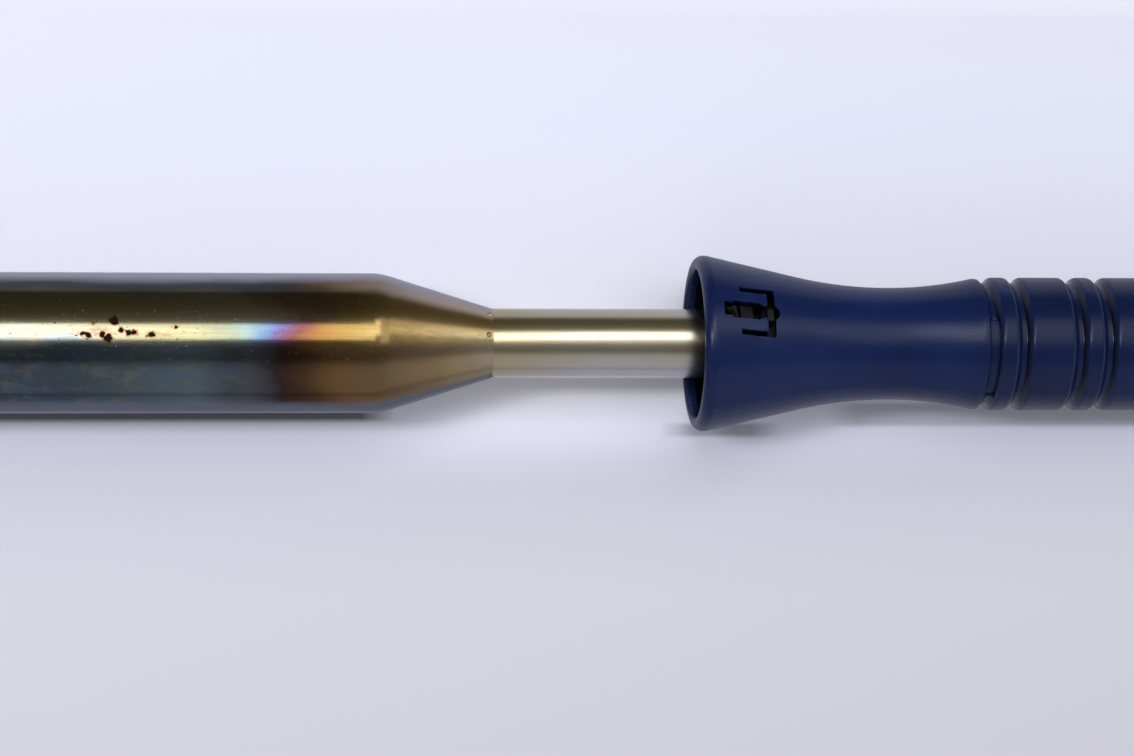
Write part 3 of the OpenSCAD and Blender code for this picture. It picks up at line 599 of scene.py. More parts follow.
def turn(profile: Profile, segments: int, start: float = 0.0, sweep: float = 360.0,
         axis_z: float = 0.0) -> bmesh.types.BMesh:
    """Turns a closed profile about a line along X, with its faces outwards.

    Args:
        profile: Places along X and radii, as a closed loop.
        segments: Steps in a full turn.
        start: First angle in degrees, from the top towards +Y.
        sweep: How far the profile turns.
        axis_z: The line's height.

    Returns:
        The solid.
    """
    shape = bmesh.new()
    whole = sweep >= 360
    steps = segments if whole else max(3, round(segments * sweep / 360))
    rings = []
    for i in range(steps if whole else steps + 1):
        a = math.radians(start + sweep * i / steps)
        rings.append([shape.verts.new((x, r * math.sin(a), axis_z + r * math.cos(a))) for x, r in profile])
    count = len(profile)
    for i in range(len(rings) if whole else len(rings) - 1):
        one, two = rings[i], rings[(i + 1) % len(rings)]
        for k in range(count):
            shape.faces.new((one[k], one[(k + 1) % count], two[(k + 1) % count], two[k]))
    if not whole:
        shape.faces.new(rings[0])
        shape.faces.new(rings[-1])
    bmesh.ops.remove_doubles(shape, verts=shape.verts, dist=1e-7)
    bmesh.ops.recalc_face_normals(shape, faces=shape.faces)
    return shape


def loft(rings: list[list[tuple[float, float, float]]]) -> bmesh.types.BMesh:
    """Joins rings with equally many points into a closed solid, with a fan over each end.

    Args:
        rings: The rings' points, from one end to the other.

    Returns:
        The solid.
    """
    shape = bmesh.new()
    loops = [[shape.verts.new(p) for p in ring] for ring in rings]
    count = len(loops[0])
    for one, two in zip(loops, loops[1:]):
        for k in range(count):
            shape.faces.new((one[k], one[(k + 1) % count], two[(k + 1) % count], two[k]))
    for loop in (loops[0], loops[-1]):
        middle = shape.verts.new(sum((v.co for v in loop), Vector()) / count)
        for k in range(count):
            shape.faces.new((loop[k], loop[(k + 1) % count], middle))
    bmesh.ops.recalc_face_normals(shape, faces=shape.faces)
    return shape


def box_shape(low: tuple[float, float, float], high: tuple[float, float, float]) -> bmesh.types.BMesh:
    """A box between two corners, to cut with."""
    shape = bmesh.new()
    bmesh.ops.create_cube(shape, size=1.0)
    size = [h - l for l, h in zip(low, high)]
    middle = [(h + l) / 2 for l, h in zip(low, high)]
    bmesh.ops.transform(shape, matrix=Matrix.Translation(middle) @ Matrix.Diagonal((*size, 1)), verts=shape.verts)
    return shape


def moved(shape: bmesh.types.BMesh, matrix: Matrix) -> bmesh.types.BMesh:
    """Moves a shape and gives it back."""
    bmesh.ops.transform(shape, matrix=matrix, verts=shape.verts)
    return shape


def carve(thing: bpy.types.Object, cutters: list[bmesh.types.BMesh], operation: str = "DIFFERENCE") -> None:
    """Cuts shapes out of an object for good, or joins them to it.

    Args:
        thing: The object to cut.
        cutters: Closed shapes, each used by itself.
        operation: Blender's name of the boolean operation.
    """
    for cutter in cutters:
        tool = link_object("cutter", cutter)
        modifier = thing.modifiers.new("cut", "BOOLEAN")
        modifier.operation = operation
        modifier.solver = "EXACT"
        modifier.object = tool
        bake(thing)
        bpy.data.objects.remove(tool)


def soften(thing: bpy.types.Object, width_mm: float, limit_deg: float, smooth_deg: float = 40.0) -> None:
    """Rounds an object's sharp edges a little and evens its shading.

    Args:
        thing: The object.
        width_mm: Width of the rounding.
        limit_deg: Edges that turn less than this stay as they are.
        smooth_deg: Edges that turn more than this stay sharp in the shading.
    """
    edges = thing.modifiers.new("edges", "BEVEL")
    edges.width = width_mm * MM
    edges.segments = 2
    edges.limit_method = "ANGLE"
    edges.angle_limit = math.radians(limit_deg)
    bake(thing)
    thing.data.shade_smooth()
    thing.data.set_sharp_from_angle(angle=math.radians(smooth_deg))
    weigh = thing.modifiers.new("even", "WEIGHTED_NORMAL")
    weigh.keep_sharp = True
    bake(thing)


def hand_in(thing: bpy.types.Object, node: str, body: str = "iron") -> bpy.types.Object:
    """Puts a finished piece in its CAD node's place.

    Args:
        thing: The piece.
        node: The CAD node that it replaces.
        body: The body that it moves with.

    Returns:
        The piece.
    """
    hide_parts(node)
    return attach(thing, body)


@dataclass
class Handle:
    """The moulded handle: flared front with snap tongues, waist, ridged grip and rounded tail."""

    iron: Iron
    material: bpy.types.Material
    rim: tuple[float, float] = (2.2, 1.9)
    lip: float = 1.2
    mouth: float = 17.05
    seat: tuple[float, float] = (9.0, 22.0)
    flare_wall: float = 2.6
    waist_x: float = 45.6
    bore: float = 10.3
    wall: float = 2.75
    steepness: float = 1.36
    rim_share: float = 0.03
    first_groove: float = 68.0
    grip_rise: float = 2.5
    swell_drop: float = 0.3
    groove_depth: float = 1.35
    groove_width: float = 3.8
    shoulder: float = 1.2
    pitches: tuple[float, float] = (6.9, 13.3)
    tail: float = 122.0
    bore_end: float = 140.0
    inlet: float = 6.5
    end_r: float = 9.2
    snap_deg: float = 23.5
    peg: float = 15.6
    pocket_deg: tuple[float, float] = (-58.0, 22.5)
    pocket: tuple[float, float] = (2.3, 0.4)
    cut_depth: float = 2.0
    outline: Profile | None = None

    def outside(self) -> Profile:
        """The outer outline from the rim to the tail, in millimetres behind the flare's front."""
        flare = self.iron.flare_r / MM
        waist_x = self.waist_x
        waist_r = self.bore + self.wall
        grip_r = waist_r + self.grip_rise
        run, rise = waist_x - self.rim[0], flare - waist_r
        slope = math.atan(self.steepness * rise / run)
        total = rise * (self.steepness - 1) * math.cos(slope) / (1 - math.cos(slope))
        first, second = self.rim_share * total, (1 - self.rim_share) * total
        deg = math.degrees(slope)
        points = arc((self.rim[0], flare - self.rim[1]), self.rim, 180, 90, 10)
        points += arc((self.rim[0], flare - first), (first, first), 90, 90 - deg, 10)[1:]
        points += arc((waist_x, waist_r + second), (second, second), 270 - deg, 270, 18)
        swell = self.first_groove - self.shoulder_reach() - waist_x
        rise = self.grip_rise - self.swell_drop
        big = (swell * swell + rise * rise) / (2 * rise)
        points += arc((waist_x, waist_r + big), (big, big), 270,
                      270 + math.degrees(math.asin(swell / big)), 24)[1:]
        for groove in self.grooves():
            points += self.groove_points(groove, grip_r)
        length = (self.iron.handle_x[1] - self.iron.handle_x[0]) / MM
        points += arc((self.tail, self.end_r), (length - self.tail, grip_r - self.end_r), 90, 0, 20)
        return points

    def shoulder_reach(self) -> float:
        """How far a groove's rounded shoulders reach from its middle."""
        return self.groove_width / 2 + self.shoulder * math.tan(math.radians(22.5))

    def groove_points(self, middle: float, top: float) -> Profile:
        """One groove with walls at 45 degrees, rounded shoulders and a flat floor with soft corners.

        Args:
            middle: The groove's place.
            top: The radius of the ridges.

        Returns:
            Its points in millimetres, from left to right.
        """
        reach, floor = self.shoulder_reach(), self.groove_width / 2 - self.groove_depth
        fillet = 0.35
        soft = fillet * math.tan(math.radians(22.5))
        low = top - self.groove_depth
        points = arc((middle - reach, top - self.shoulder), (self.shoulder,) * 2, 90, 45, 8)
        if middle == self.first_groove:
            points = [p for p in points if p[1] < top - self.swell_drop - 0.02]
        points += arc((middle - floor + soft, low + fillet), (fillet,) * 2, 225, 270, 4)
        points += arc((middle + floor - soft, low + fillet), (fillet,) * 2, 270, 315, 4)
        return points + arc((middle + reach, top - self.shoulder), (self.shoulder,) * 2, 135, 90, 8)

    def grooves(self) -> list[float]:
        """The middles of the grooves, narrow and wide ridges in turn."""
        found = [self.first_groove]
        while found[-1] + self.pitches[(len(found) - 1) % 2] + self.groove_width / 2 < self.tail:
            found.append(found[-1] + self.pitches[(len(found) - 1) % 2])
        return found

    def radius_at(self, x: float) -> float:
        """The outer radius at a place, in millimetres."""
        if self.outline is None:
            self.outline = self.outside()
        after = bisect.bisect_left(self.outline, (x, 0.0))
        if after in (0, len(self.outline)):
            return self.outline[min(after, len(self.outline) - 1)][1]
        (x0, r0), (x1, r1) = self.outline[after - 1], self.outline[after]
        return r0 + (r1 - r0) * (x - x0) / (x1 - x0 + 1e-9)

    def dense(self, profile: Profile, until: float, step: float) -> Profile:
        """Adds points on the long edges of a profile's front part, so that cuts leave small faces.

        Args:
            profile: Places along X and radii, as a closed loop.
            until: Edges that lie past this place stay as they are.
            step: Longest edge in the front part.

        Returns:
            The profile with the added points.
        """
        found = []
        for (x0, r0), (x1, r1) in zip(profile, profile[1:] + profile[:1]):
            parts = math.ceil(math.hypot(x1 - x0, r1 - r0) / step) if max(x0, x1) < until else 1
            found += [(x0 + (x1 - x0) * i / parts, r0 + (r1 - r0) * i / parts) for i in range(max(parts, 1))]
        return found

    def slots(self) -> bmesh.types.BMesh:
        """One prism for the slots round the snap tongues, cut straight along the peg's direction."""
        hole, throat, cross = 2.0, 1.3, 0.95
        outer, inner, front = 5.9, 4.6, 8.3
        back = self.peg + cross
        ahead = math.degrees(math.asin(math.sqrt(hole ** 2 - cross ** 2) / hole))
        entry = math.degrees(math.asin(throat / hole))
        middle = (self.peg, 0)
        outline = [(front, inner), (front, outer), (back, outer)]
        outline += arc(middle, (hole, hole), ahead, -ahead, 8)
        outline += [(back, -outer), (front, -outer), (front, -inner), (self.peg - cross, -inner)]
        outline += arc(middle, (hole, hole), 180 + ahead, 180 + entry, 3)
        outline += [(12.6, -2.1), (6.6, -2.1), (6.6, -1.7), (4.4, -1.7),
                    (4.4, 1.7), (6.6, 1.7), (6.6, 2.1), (12.6, 2.1)]
        outline += arc(middle, (hole, hole), 180 - entry, 180 - ahead, 3)
        outline += [(self.peg - cross, inner)]
        shape = bmesh.new()
        low, high = self.iron.neck_r / MM + 1, self.iron.flare_r / MM * 1.3
        layers = [[shape.verts.new((x, v, z)) for x, v in outline] for z in (low, high)]
        shape.faces.new(layers[0])
        shape.faces.new(layers[1])
        for k in range(len(outline)):
            m = (k + 1) % len(outline)
            shape.faces.new((layers[0][k], layers[0][m], layers[1][m], layers[1][k]))
        bmesh.ops.recalc_face_normals(shape, faces=shape.faces)
        return moved(shape, self.iron.outwards(0, self.snap_deg))

    def pocket_cutter(self) -> bmesh.types.BMesh:
        """The deeper floor of the first groove, over part of its turn."""
        width, depth = self.pocket
        top = self.bore + self.wall + self.grip_rise
        low, high = top - self.groove_depth - depth, top + 1
        x0, x1 = self.first_groove - width / 2, self.first_groove + width / 2
        return turn(self.iron.place([(x0, low), (x1, low), (x1, high), (x0, high)]), Segments.FINE.value,
                    self.pocket_deg[0], self.pocket_deg[1] - self.pocket_deg[0], self.iron.axis_z)

    def mark_depth(self, shell: bpy.types.Object) -> None:
        """Writes how deep in millimetres each point lies in a cut, for the painted shade there.

        The grooves' walls that face the bit count in full and their floors and other walls only in part.
        """
        depth = shell.data.attributes.new("depth", "FLOAT", "POINT")
        front = self.iron.handle_x[0]
        for vertex, value in zip(shell.data.vertices, depth.data):
            x, y, z = vertex.co
            if (x - front) / MM < 2 * self.lip:
                continue
            under = max(0.0, self.radius_at((x - front) / MM) - math.hypot(y, z - self.iron.axis_z) / MM)
            if under < 0.05:
                under = self.bore + self.wall + self.grip_rise - self.radius_at((x - front) / MM)
                under *= 1.0 if (x - front) / MM > self.first_groove - self.shoulder_reach() else 0.0
            lean = min(1.0, max(0.15, -2.2 * vertex.normal.x))
            value.value = under if under > self.cut_depth else max(0.0, under) * lean

    def build(self) -> list[bpy.types.Object]:
        """Builds the shell, cuts it and softens its cut edges.

        Returns:
            The finished handle.
        """
        length = (self.iron.handle_x[1] - self.iron.handle_x[0]) / MM
        seats = [self.radius_at(x) - self.flare_wall for x in self.seat]
        profile = self.outside() + [
            (length, self.inlet), (self.bore_end, self.inlet), (self.bore_end, self.bore),
            (self.seat[1], self.bore), (self.seat[1], seats[1]), (self.seat[0], seats[0])]
        profile += arc((self.lip, self.mouth + self.lip), (self.lip, self.lip), 270, 180, 6)
        shape = turn(self.iron.place(self.dense(profile, 28.0, 1.1)), Segments.FINE.value,
                     axis_z=self.iron.axis_z)
        shell = link_object("handle_moulding", shape, self.material)
        carve(shell, [self.slots(), self.pocket_cutter()])
        soften(shell, 0.22, 42)
        self.mark_depth(shell)
        return [hand_in(shell, "handle_shell")]


@dataclass
class Bushing:
    """The moulded bushing in the flare, relieved behind the snap tongues, with its blade-shaped peg."""

    handle: Handle
    material: bpy.types.Material
    gap: float = 0.1
    bore: float = 8.05
    waist: float = 11.4
    peg_ring: tuple[float, float] = (13.9, 17.3)
    peg_ring_r: float = 12.6
    peg_size: tuple[float, float] = (0.85, 1.7)
    peg_sunk: float = 1.2

    def build(self) -> list[bpy.types.Object]:
        """Builds the bushing.

        Returns:
            The finished bushing.
        """
        handle, iron = self.handle, self.handle.iron
        front, back = handle.seat
        ends = [handle.radius_at(x) - handle.flare_wall - self.gap for x in (front, back)]
        def seat_r(x: float) -> float:
            """The seat's radius at a place."""
            return ends[0] + (ends[1] - ends[0]) * (x - front) / (back - front)
        tail = handle.bore - self.gap
        a, b = self.peg_ring
        profile = [(front, self.bore + 0.3), (front + 0.3, self.bore), (32.0, self.bore), (32.0, tail - 0.4),
                   (31.6, tail), (back - 0.05, tail), (back - 0.05, seat_r(back) - 0.3),
                   (back - 0.35, seat_r(back)), (20.4, seat_r(20.4)), (20.4, self.waist), (b, self.waist),
                   (b, self.peg_ring_r - 0.3), (b - 0.3, self.peg_ring_r), (a + 0.3, self.peg_ring_r),
                   (a, self.peg_ring_r - 0.3), (a, self.waist), (11.6, self.waist), (11.6, seat_r(11.6)),
                   (front + 0.4, seat_r(front + 0.4)), (front, seat_r(front) - 0.4), (front, 15.0),
                   (front + 0.9, 14.8), (front + 0.9, 10.9), (front, 10.7)]
        shape = turn(iron.place(profile[::-1]), Segments.FINE.value, axis_z=iron.axis_z)
        body = link_object("heatproof_bushing", shape, self.material)
        top = handle.radius_at(handle.peg) - self.peg_sunk
        thick, wide = self.peg_size
        def blade(z: float, scale: float) -> list[tuple[float, float, float]]:
            """One ring of the peg: a round post with two flats."""
            turns = [math.radians(15 * k) for k in range(24)]
            return [(max(-thick, min(thick, wide * math.cos(t))) * scale, wide * math.sin(t) * scale, z)
                    for t in turns]
        peg = loft([blade(self.waist - 0.5, 1), blade(top - 0.4, 1), blade(top - 0.1, 0.9), blade(top, 0.72)])
        carve(body, [moved(peg, iron.outwards(handle.peg, handle.snap_deg))], "UNION")
        body.data.shade_smooth()
        body.data.set_sharp_from_angle(angle=math.radians(30))
        return [hand_in(body, "neck_bushing")]


@dataclass
class Barrel:
    """The heated barrel with its rounded shoulder and cone, and the neck tube behind it."""

    iron: Iron
    barrel_paint: bpy.types.Material
    neck_paint: bpy.types.Material
    wall: float = 0.8
    neck_wall: float = 1.0
    cone_len: float = 25.5
    shoulder: float = 14.0
    dimple: float = 0.62
    dimple_deg: tuple[float, ...] = (13, 52.6, 128, 205, 288)
    dimple_x: tuple[float, ...] = (-1.1, -0.6, -0.2, -0.7, -0.2)

    def spots(self) -> list[Vector]:
        """The middles of the punched marks."""
        found = []
        slope = (self.iron.barrel_r - self.iron.neck_r) / (self.cone_len * MM)
        for angle, x in zip(self.dimple_deg, self.dimple_x):
            out = self.iron.neck_r - min(x, 0) * MM * slope
            a = math.radians(angle)
            found.append(Vector((self.iron.barrel_x[1] + x * MM, out * math.sin(a),
                                 self.iron.axis_z + out * math.cos(a))))
        return found

    def dimples(self) -> list[bmesh.types.BMesh]:
        """Small balls that cut the punched marks at the crease."""
        found = []
        for spot in self.spots():
            ball = bmesh.new()
            bmesh.ops.create_uvsphere(ball, u_segments=24, v_segments=12, radius=self.dimple * MM)
            found.append(moved(ball, Matrix.Translation(spot)))
        return found

    def mark_pits(self, piece: bpy.types.Object) -> None:
        """Marks the points inside the punched marks, which the materials darken nearly black."""
        pit = piece.data.attributes.new("pit", "FLOAT", "POINT")
        for vertex, value in zip(piece.data.vertices, pit.data):
            near = min((vertex.co - spot).length for spot in self.spots())
            value.value = 1.0 if near < (self.dimple - 0.05) * MM else 0.0

    def build(self) -> list[bpy.types.Object]:
        """Builds the barrel and the neck.

        Returns:
            Both pieces.
        """
        iron, wall = self.iron, self.wall * MM
        x0, x1 = iron.barrel_x
        cone_x = x1 - self.cone_len * MM
        tilt = math.atan((iron.barrel_r - iron.neck_r) / (self.cone_len * MM))
        big = self.shoulder * MM
        deg = math.degrees(tilt)
        centre = (cone_x - big * math.tan(tilt / 2), iron.barrel_r - big)
        tube = [(x0, iron.barrel_r)] + arc(centre, (big, big), 90, 90 - deg, 16) + [(x1, iron.neck_r)]
        tube += [(x1, iron.neck_r - wall / math.cos(tilt))]
        tube += arc(centre, (big - wall, big - wall), 90 - deg, 90, 16) + [(x0, iron.barrel_r - wall)]
        nx0, nx1 = iron.neck_x
        bore = iron.neck_r - self.neck_wall * MM
        pipe = [(nx0, iron.neck_r), (nx1, iron.neck_r), (nx1, bore), (nx0, bore)]
        found = []
        for name, profile, paint, node in (("barrel_tube", tube, self.barrel_paint, "barrel_shell"),
                                           ("neck_pipe", pipe, self.neck_paint, "neck_tube")):
            shape = turn(profile, Segments.FINE.value, axis_z=iron.axis_z)
            piece = link_object(name, shape, paint)
            carve(piece, self.dimples())
            piece.data.shade_smooth()
            piece.data.set_sharp_from_angle(angle=math.radians(14))
            self.mark_pits(piece)
            found.append(hand_in(piece, node))
        return found


@dataclass
class Nose:
    """The front end: the copper bit, the collar, the two clamp screws on their washers, and three small screws."""

    iron: Iron
    finishes: dict[Finish, bpy.types.Material]
    barrel_x: float = -184.5
    collar_len: float = 14.0
    bit_out: float = 50.0
    bit_in: float = 90.0
    bit_r: float = 10.0
    chisel: float = 24.0
    edge: float = 2.0
    socket: tuple[float, float] = (10.15, 11.35)
    spigot: tuple[float, float] = (10.0, 15.15)
    clamp_deg: float = 35.0
    thread: tuple[float, float, float] = (3.0, 0.42, 1.0)
    head: tuple[float, float] = (10.0, 4.0)
    head_base: float = 17.4
    washer: tuple[float, float, float] = (3.12, 5.88, 1.5)
    boss_r: float = 6.2
    small: tuple[float, float, float] = (1.5, 2.8, 1.6)
    small_deg: tuple[int, float] = (3, 5.0)

    def bit(self) -> bpy.types.Object:
        """The round bar with two ground faces that meet in a narrow edge."""
        collar_x = self.barrel_x - self.collar_len
        tip, end = collar_x - self.bit_out, collar_x + self.bit_in
        r, soft = self.bit_r, 0.8
        profile = [(tip, 0.0), (tip, r - 1.2), (tip + 1.2, r), (end - soft, r), (end, r - soft), (end, 0.0)]
        shape = turn(self.iron.place(profile), Segments.FINE.value, axis_z=self.iron.axis_z)
        bar = link_object("chisel_bit", shape, self.finishes[Finish.COPPER])
        slope = (r - self.edge / 2) / self.chisel
        wedges = []
        for side in (1, -1):
            corners = [(-2, self.edge / 2 - 2 * slope), (self.chisel + 4, r + 4 * slope), (self.chisel + 4, 2 * r),
                       (-2, 2 * r)]
            wedge = bmesh.new()
            layers = [[wedge.verts.new((tip + x, y, side * z)) for x, z in corners] for y in (-2 * r, 2 * r)]
            for layer in layers:
                wedge.faces.new(layer)
            for k in range(4):
                wedge.faces.new((layers[0][k], layers[0][(k + 1) % 4], layers[1][(k + 1) % 4], layers[1][k]))
            bmesh.ops.recalc_face_normals(wedge, faces=wedge.faces)
            wedges.append(moved(wedge, self.iron.outwards(0, 0)))
        carve(bar, wedges)
        soften(bar, 0.35, 24, 50)
        return hand_in(bar, "soldering_bit", "bit")

    def collar(self) -> bpy.types.Object:
        """The turned collar with two spot-faced bosses, its threaded holes and the holes of the small screws."""
        iron = self.iron
        b = self.barrel_x
        c, r = b - self.collar_len, iron.barrel_r / MM
        reach, spigot_r = self.spigot
        line = b - 2.2
        profile = [(c, self.socket[0] + 0.6), (c, r - 1.4)] + arc((c + 1.4, r - 1.4), (1.4, 1.4), 180, 90, 8)[1:]
        profile += [(line - 0.5, r), (line, r - 0.4), (line + 0.5, r), (b - 0.35, r), (b - 0.05, r - 0.3),
                    (b - 0.05, spigot_r), (b + reach - 0.5, spigot_r), (b + reach, spigot_r - 0.5),
                    (b + reach, self.socket[1]), (b - 2, self.socket[1]), (b - 2, self.socket[0]),
                    (c + 0.6, self.socket[0])]
        shape = turn(iron.place(profile), Segments.FINE.value, axis_z=iron.axis_z)
        body = link_object("turned_collar", shape, self.finishes[Finish.STAINLESS])
        seat = self.head_base - self.washer[2] - 0.2
        middle = c + self.collar_len / 2
        posts, cuts = [], []
        for side in (-1, 1):
            spot = iron.outwards(middle, 180 + side * self.clamp_deg)
            for found, low, high, radius in ((posts, self.socket[1] + 0.1, seat, self.boss_r),
                                             (cuts, seat, seat + 9, self.boss_r - 0.02),
                                             (cuts, 5.0, seat + 1, self.thread[0] + 0.05)):
                found.append(moved(self.post(low, high, radius), spot))
        for k in range(self.small_deg[0]):
            spot = iron.outwards(b + self.small_deg[1], k * 360 / self.small_deg[0])
            cuts.append(moved(self.post(self.socket[0], r + 1, self.small[0] + 0.05), spot))
        carve(body, posts, "UNION")
        carve(body, cuts)
        soften(body, 0.15, 40)
        return hand_in(body, "front_collar")

    def post(self, low: float, high: float, radius: float) -> bmesh.types.BMesh:
        """A round post in millimetres, to cut or to join with."""
        turns = [math.radians(7.5 * k) for k in range(Segments.COARSE.value)]
        return loft([[(radius * math.cos(t), radius * math.sin(t), z) for t in turns] for z in (low, high)])

    def clamp_screw(self, name: str, deg: float, body: str) -> bpy.types.Object:
        """A hex screw with a chamfered head and a rolled thread.

        Args:
            name: The CAD node that it replaces.
            deg: Its angle from the top.
            body: The body that it moves with.

        Returns:
            The screw.
        """
        outer, depth, pitch = self.thread
        flats, tall = self.head
        base = self.head_base
        count = Segments.COARSE.value
        turns = [math.tau * k / count for k in range(count)]
        def ring(z: float, radius: float) -> list[tuple[float, float, float]]:
            """A round ring."""
            return [(radius * math.cos(t), radius * math.sin(t), z) for t in turns]
        def crest(z: float, t: float) -> float:
            """The thread's radius at a height and an angle, running out at both ends."""
            share = (z / pitch - t / math.tau) % 1.0
            lift = min(1.0, max(0.0, 1.6 * (1 - abs(2 * share - 1)) - 0.2))
            fade = min(1.0, max(0.0, min(z - self.bit_r - 1.0, base - 0.6 - z)) / 0.5)
            return outer - depth + depth * lift * fade
        low = self.bit_r + 0.05
        rings = [ring(low, 1.9), ring(low + 0.3, 2.2), ring(low + 0.9, 2.3)]
        steps = round((base - low - 1.1) * 8)
        for i in range(steps + 1):
            z = low + 1.0 + (base - low - 1.1) * i / steps
            rings.append([(crest(z, t) * math.cos(t), crest(z, t) * math.sin(t), z) for t in turns])
        def hexagon(t: float) -> float:
            """Distance from the middle to the hexagon's side at an angle."""
            return flats / 2 / math.cos((t % (math.pi / 3)) - math.pi / 6)
        top = base + tall
        flat_r = 0.95 * flats / 2
        rings.append(ring(base, flat_r))
        rings.append([(hexagon(t) * math.cos(t), hexagon(t) * math.sin(t),
                       base + (hexagon(t) - flat_r) * 0.35) for t in turns])
        rings.append([(hexagon(t) * math.cos(t), hexagon(t) * math.sin(t),
                       top - (hexagon(t) - flat_r) * math.tan(math.radians(30))) for t in turns])
        rings += [ring(top, flat_r), ring(top, 0.7 * flat_r), ring(top - 0.15, 0.62 * flat_r)]
        shape = moved(loft(rings), self.iron.outwards(self.barrel_x - self.collar_len / 2, deg))
        bmesh.ops.recalc_face_normals(shape, faces=shape.faces)
        screw = link_object("hex_screw_" + name.rsplit("_", 1)[1], shape, self.finishes[Finish.ZINC], 28.0)
        return hand_in(screw, name, body)

    def lock_washer(self, name: str, deg: float, body: str) -> bpy.types.Object:
        """A split spring ring with worn edges.

        Args:
            name: The CAD node that it replaces.
            deg: Its angle from the top.
            body: The body that it moves with.

        Returns:
            The washer.
        """
        inner, outer, thick = self.washer
        low, high, soft = self.head_base - 0.05 - thick, self.head_base - 0.05, 0.2
        profile = [(low, inner + soft), (low + soft, inner), (high - soft, inner), (high, inner + soft),
                   (high, outer - soft), (high - soft, outer), (low + soft, outer), (low, outer - soft)]
        split = 5.0
        shape = moved(turn(profile, Segments.FINE.value, split, 360 - 2 * split), Matrix.Rotation(-math.pi / 2, 4, "Y"))
        shape = moved(shape, self.iron.outwards(self.barrel_x - self.collar_len / 2, deg))
        washer = link_object("split_ring_" + name.rsplit("_", 1)[1], shape, self.finishes[Finish.ZINC])
        return hand_in(washer, name, body)

    def small_screw(self) -> bpy.types.Object:
        """One slotted round-headed screw at the top, in metres about the axis at height 0."""
        shank, head, tall = self.small
        base = self.iron.barrel_r / MM + 0.05
        low = base - 4.1
        profile = [(low, 0.0), (low, shank - 0.3), (low + 0.3, shank), (base, shank), (base, head - 0.15),
                   (base + 0.15, head), (base + 0.55 * tall, head)]
        profile += arc((base + 0.55 * tall, 0.0), (0.45 * tall, head), 90, 0, 8)[1:]
        shape = moved(turn(profile, Segments.COARSE.value), Matrix.Rotation(-math.pi / 2, 4, "Y"))
        shape = moved(shape, Matrix.Translation((self.iron.handle_x[0] / MM + self.barrel_x + self.small_deg[1], 0, 0)))
        shape = moved(shape, Matrix.Scale(MM, 4))
        screw = link_object("slotted_screws", shape, self.finishes[Finish.ZINC])
        x = self.iron.handle_x[0] + (self.barrel_x + self.small_deg[1]) * MM
        top = (base + tall) * MM
        carve(screw, [box_shape((x - 0.004, -0.00027, top - 0.0007), (x + 0.004, 0.00027, top + 0.001))])
        screw.data.shade_smooth()
        screw.data.set_sharp_from_angle(angle=math.radians(35))
        return screw

    def small_screws(self) -> bpy.types.Object:
        """Three small screws, as one Geometry Nodes ring of the first about the iron's axis."""
        thing = self.small_screw()
        tree = bpy.data.node_groups.new("ring_about_axis", "GeometryNodeTree")
        made = {name: tree.interface.new_socket(name, in_out=way, socket_type=kind).identifier
                for name, way, kind in (("Geometry", "INPUT", "NodeSocketGeometry"),
                                        ("Count", "INPUT", "NodeSocketInt"),
                                        ("Axis Height", "INPUT", "NodeSocketFloat"),
                                        ("Result", "OUTPUT", "NodeSocketGeometry"))}
        given = add_node(tree, "NodeGroupInput").node.outputs
        middle = add_node(tree, "ShaderNodeCombineXYZ", {"Z": given["Axis Height"]})
        points = add_node(tree, "GeometryNodePoints", {"Count": given["Count"], "Position": middle})
        step = add_node(tree, MATH, (math.tau, given["Count"]), operation="DIVIDE")
        angle = add_node(tree, MATH, (add_node(tree, "GeometryNodeInputIndex"), step), operation="MULTIPLY")
        ring = add_node(tree, "GeometryNodeInstanceOnPoints", {
            "Points": points, "Instance": given["Geometry"],
            "Rotation": add_node(tree, "ShaderNodeCombineXYZ", {"X": angle})})
        real = add_node(tree, "GeometryNodeRealizeInstances", {"Geometry": ring})
        dressed = add_node(tree, "GeometryNodeSetMaterial", {"Geometry": real, "Material": self.finishes[Finish.ZINC]})
        add_node(tree, "NodeGroupOutput", {"Result": dressed})
        modifier = thing.modifiers.new("ring", "NODES")
        modifier.node_group = tree
        modifier[made["Count"]] = self.small_deg[0]
        modifier[made["Axis Height"]] = self.iron.axis_z
        bake(thing)
        return hand_in(thing, "collar_screws")

    def build(self) -> list[bpy.types.Object]:
        """Builds the front end's pieces.

        Returns:
            The bit, the collar, both screws and washers, and the small screws.
        """
        found = [self.bit(), self.collar(), self.small_screws()]
        for side, deg in (("left", 180 - self.clamp_deg), ("right", 180 + self.clamp_deg)):
            found.append(self.clamp_screw("clamp_screw_" + side, deg, "screw_" + side))
            found.append(self.lock_washer("lock_washer_" + side, deg, "washer_" + side))
        return found


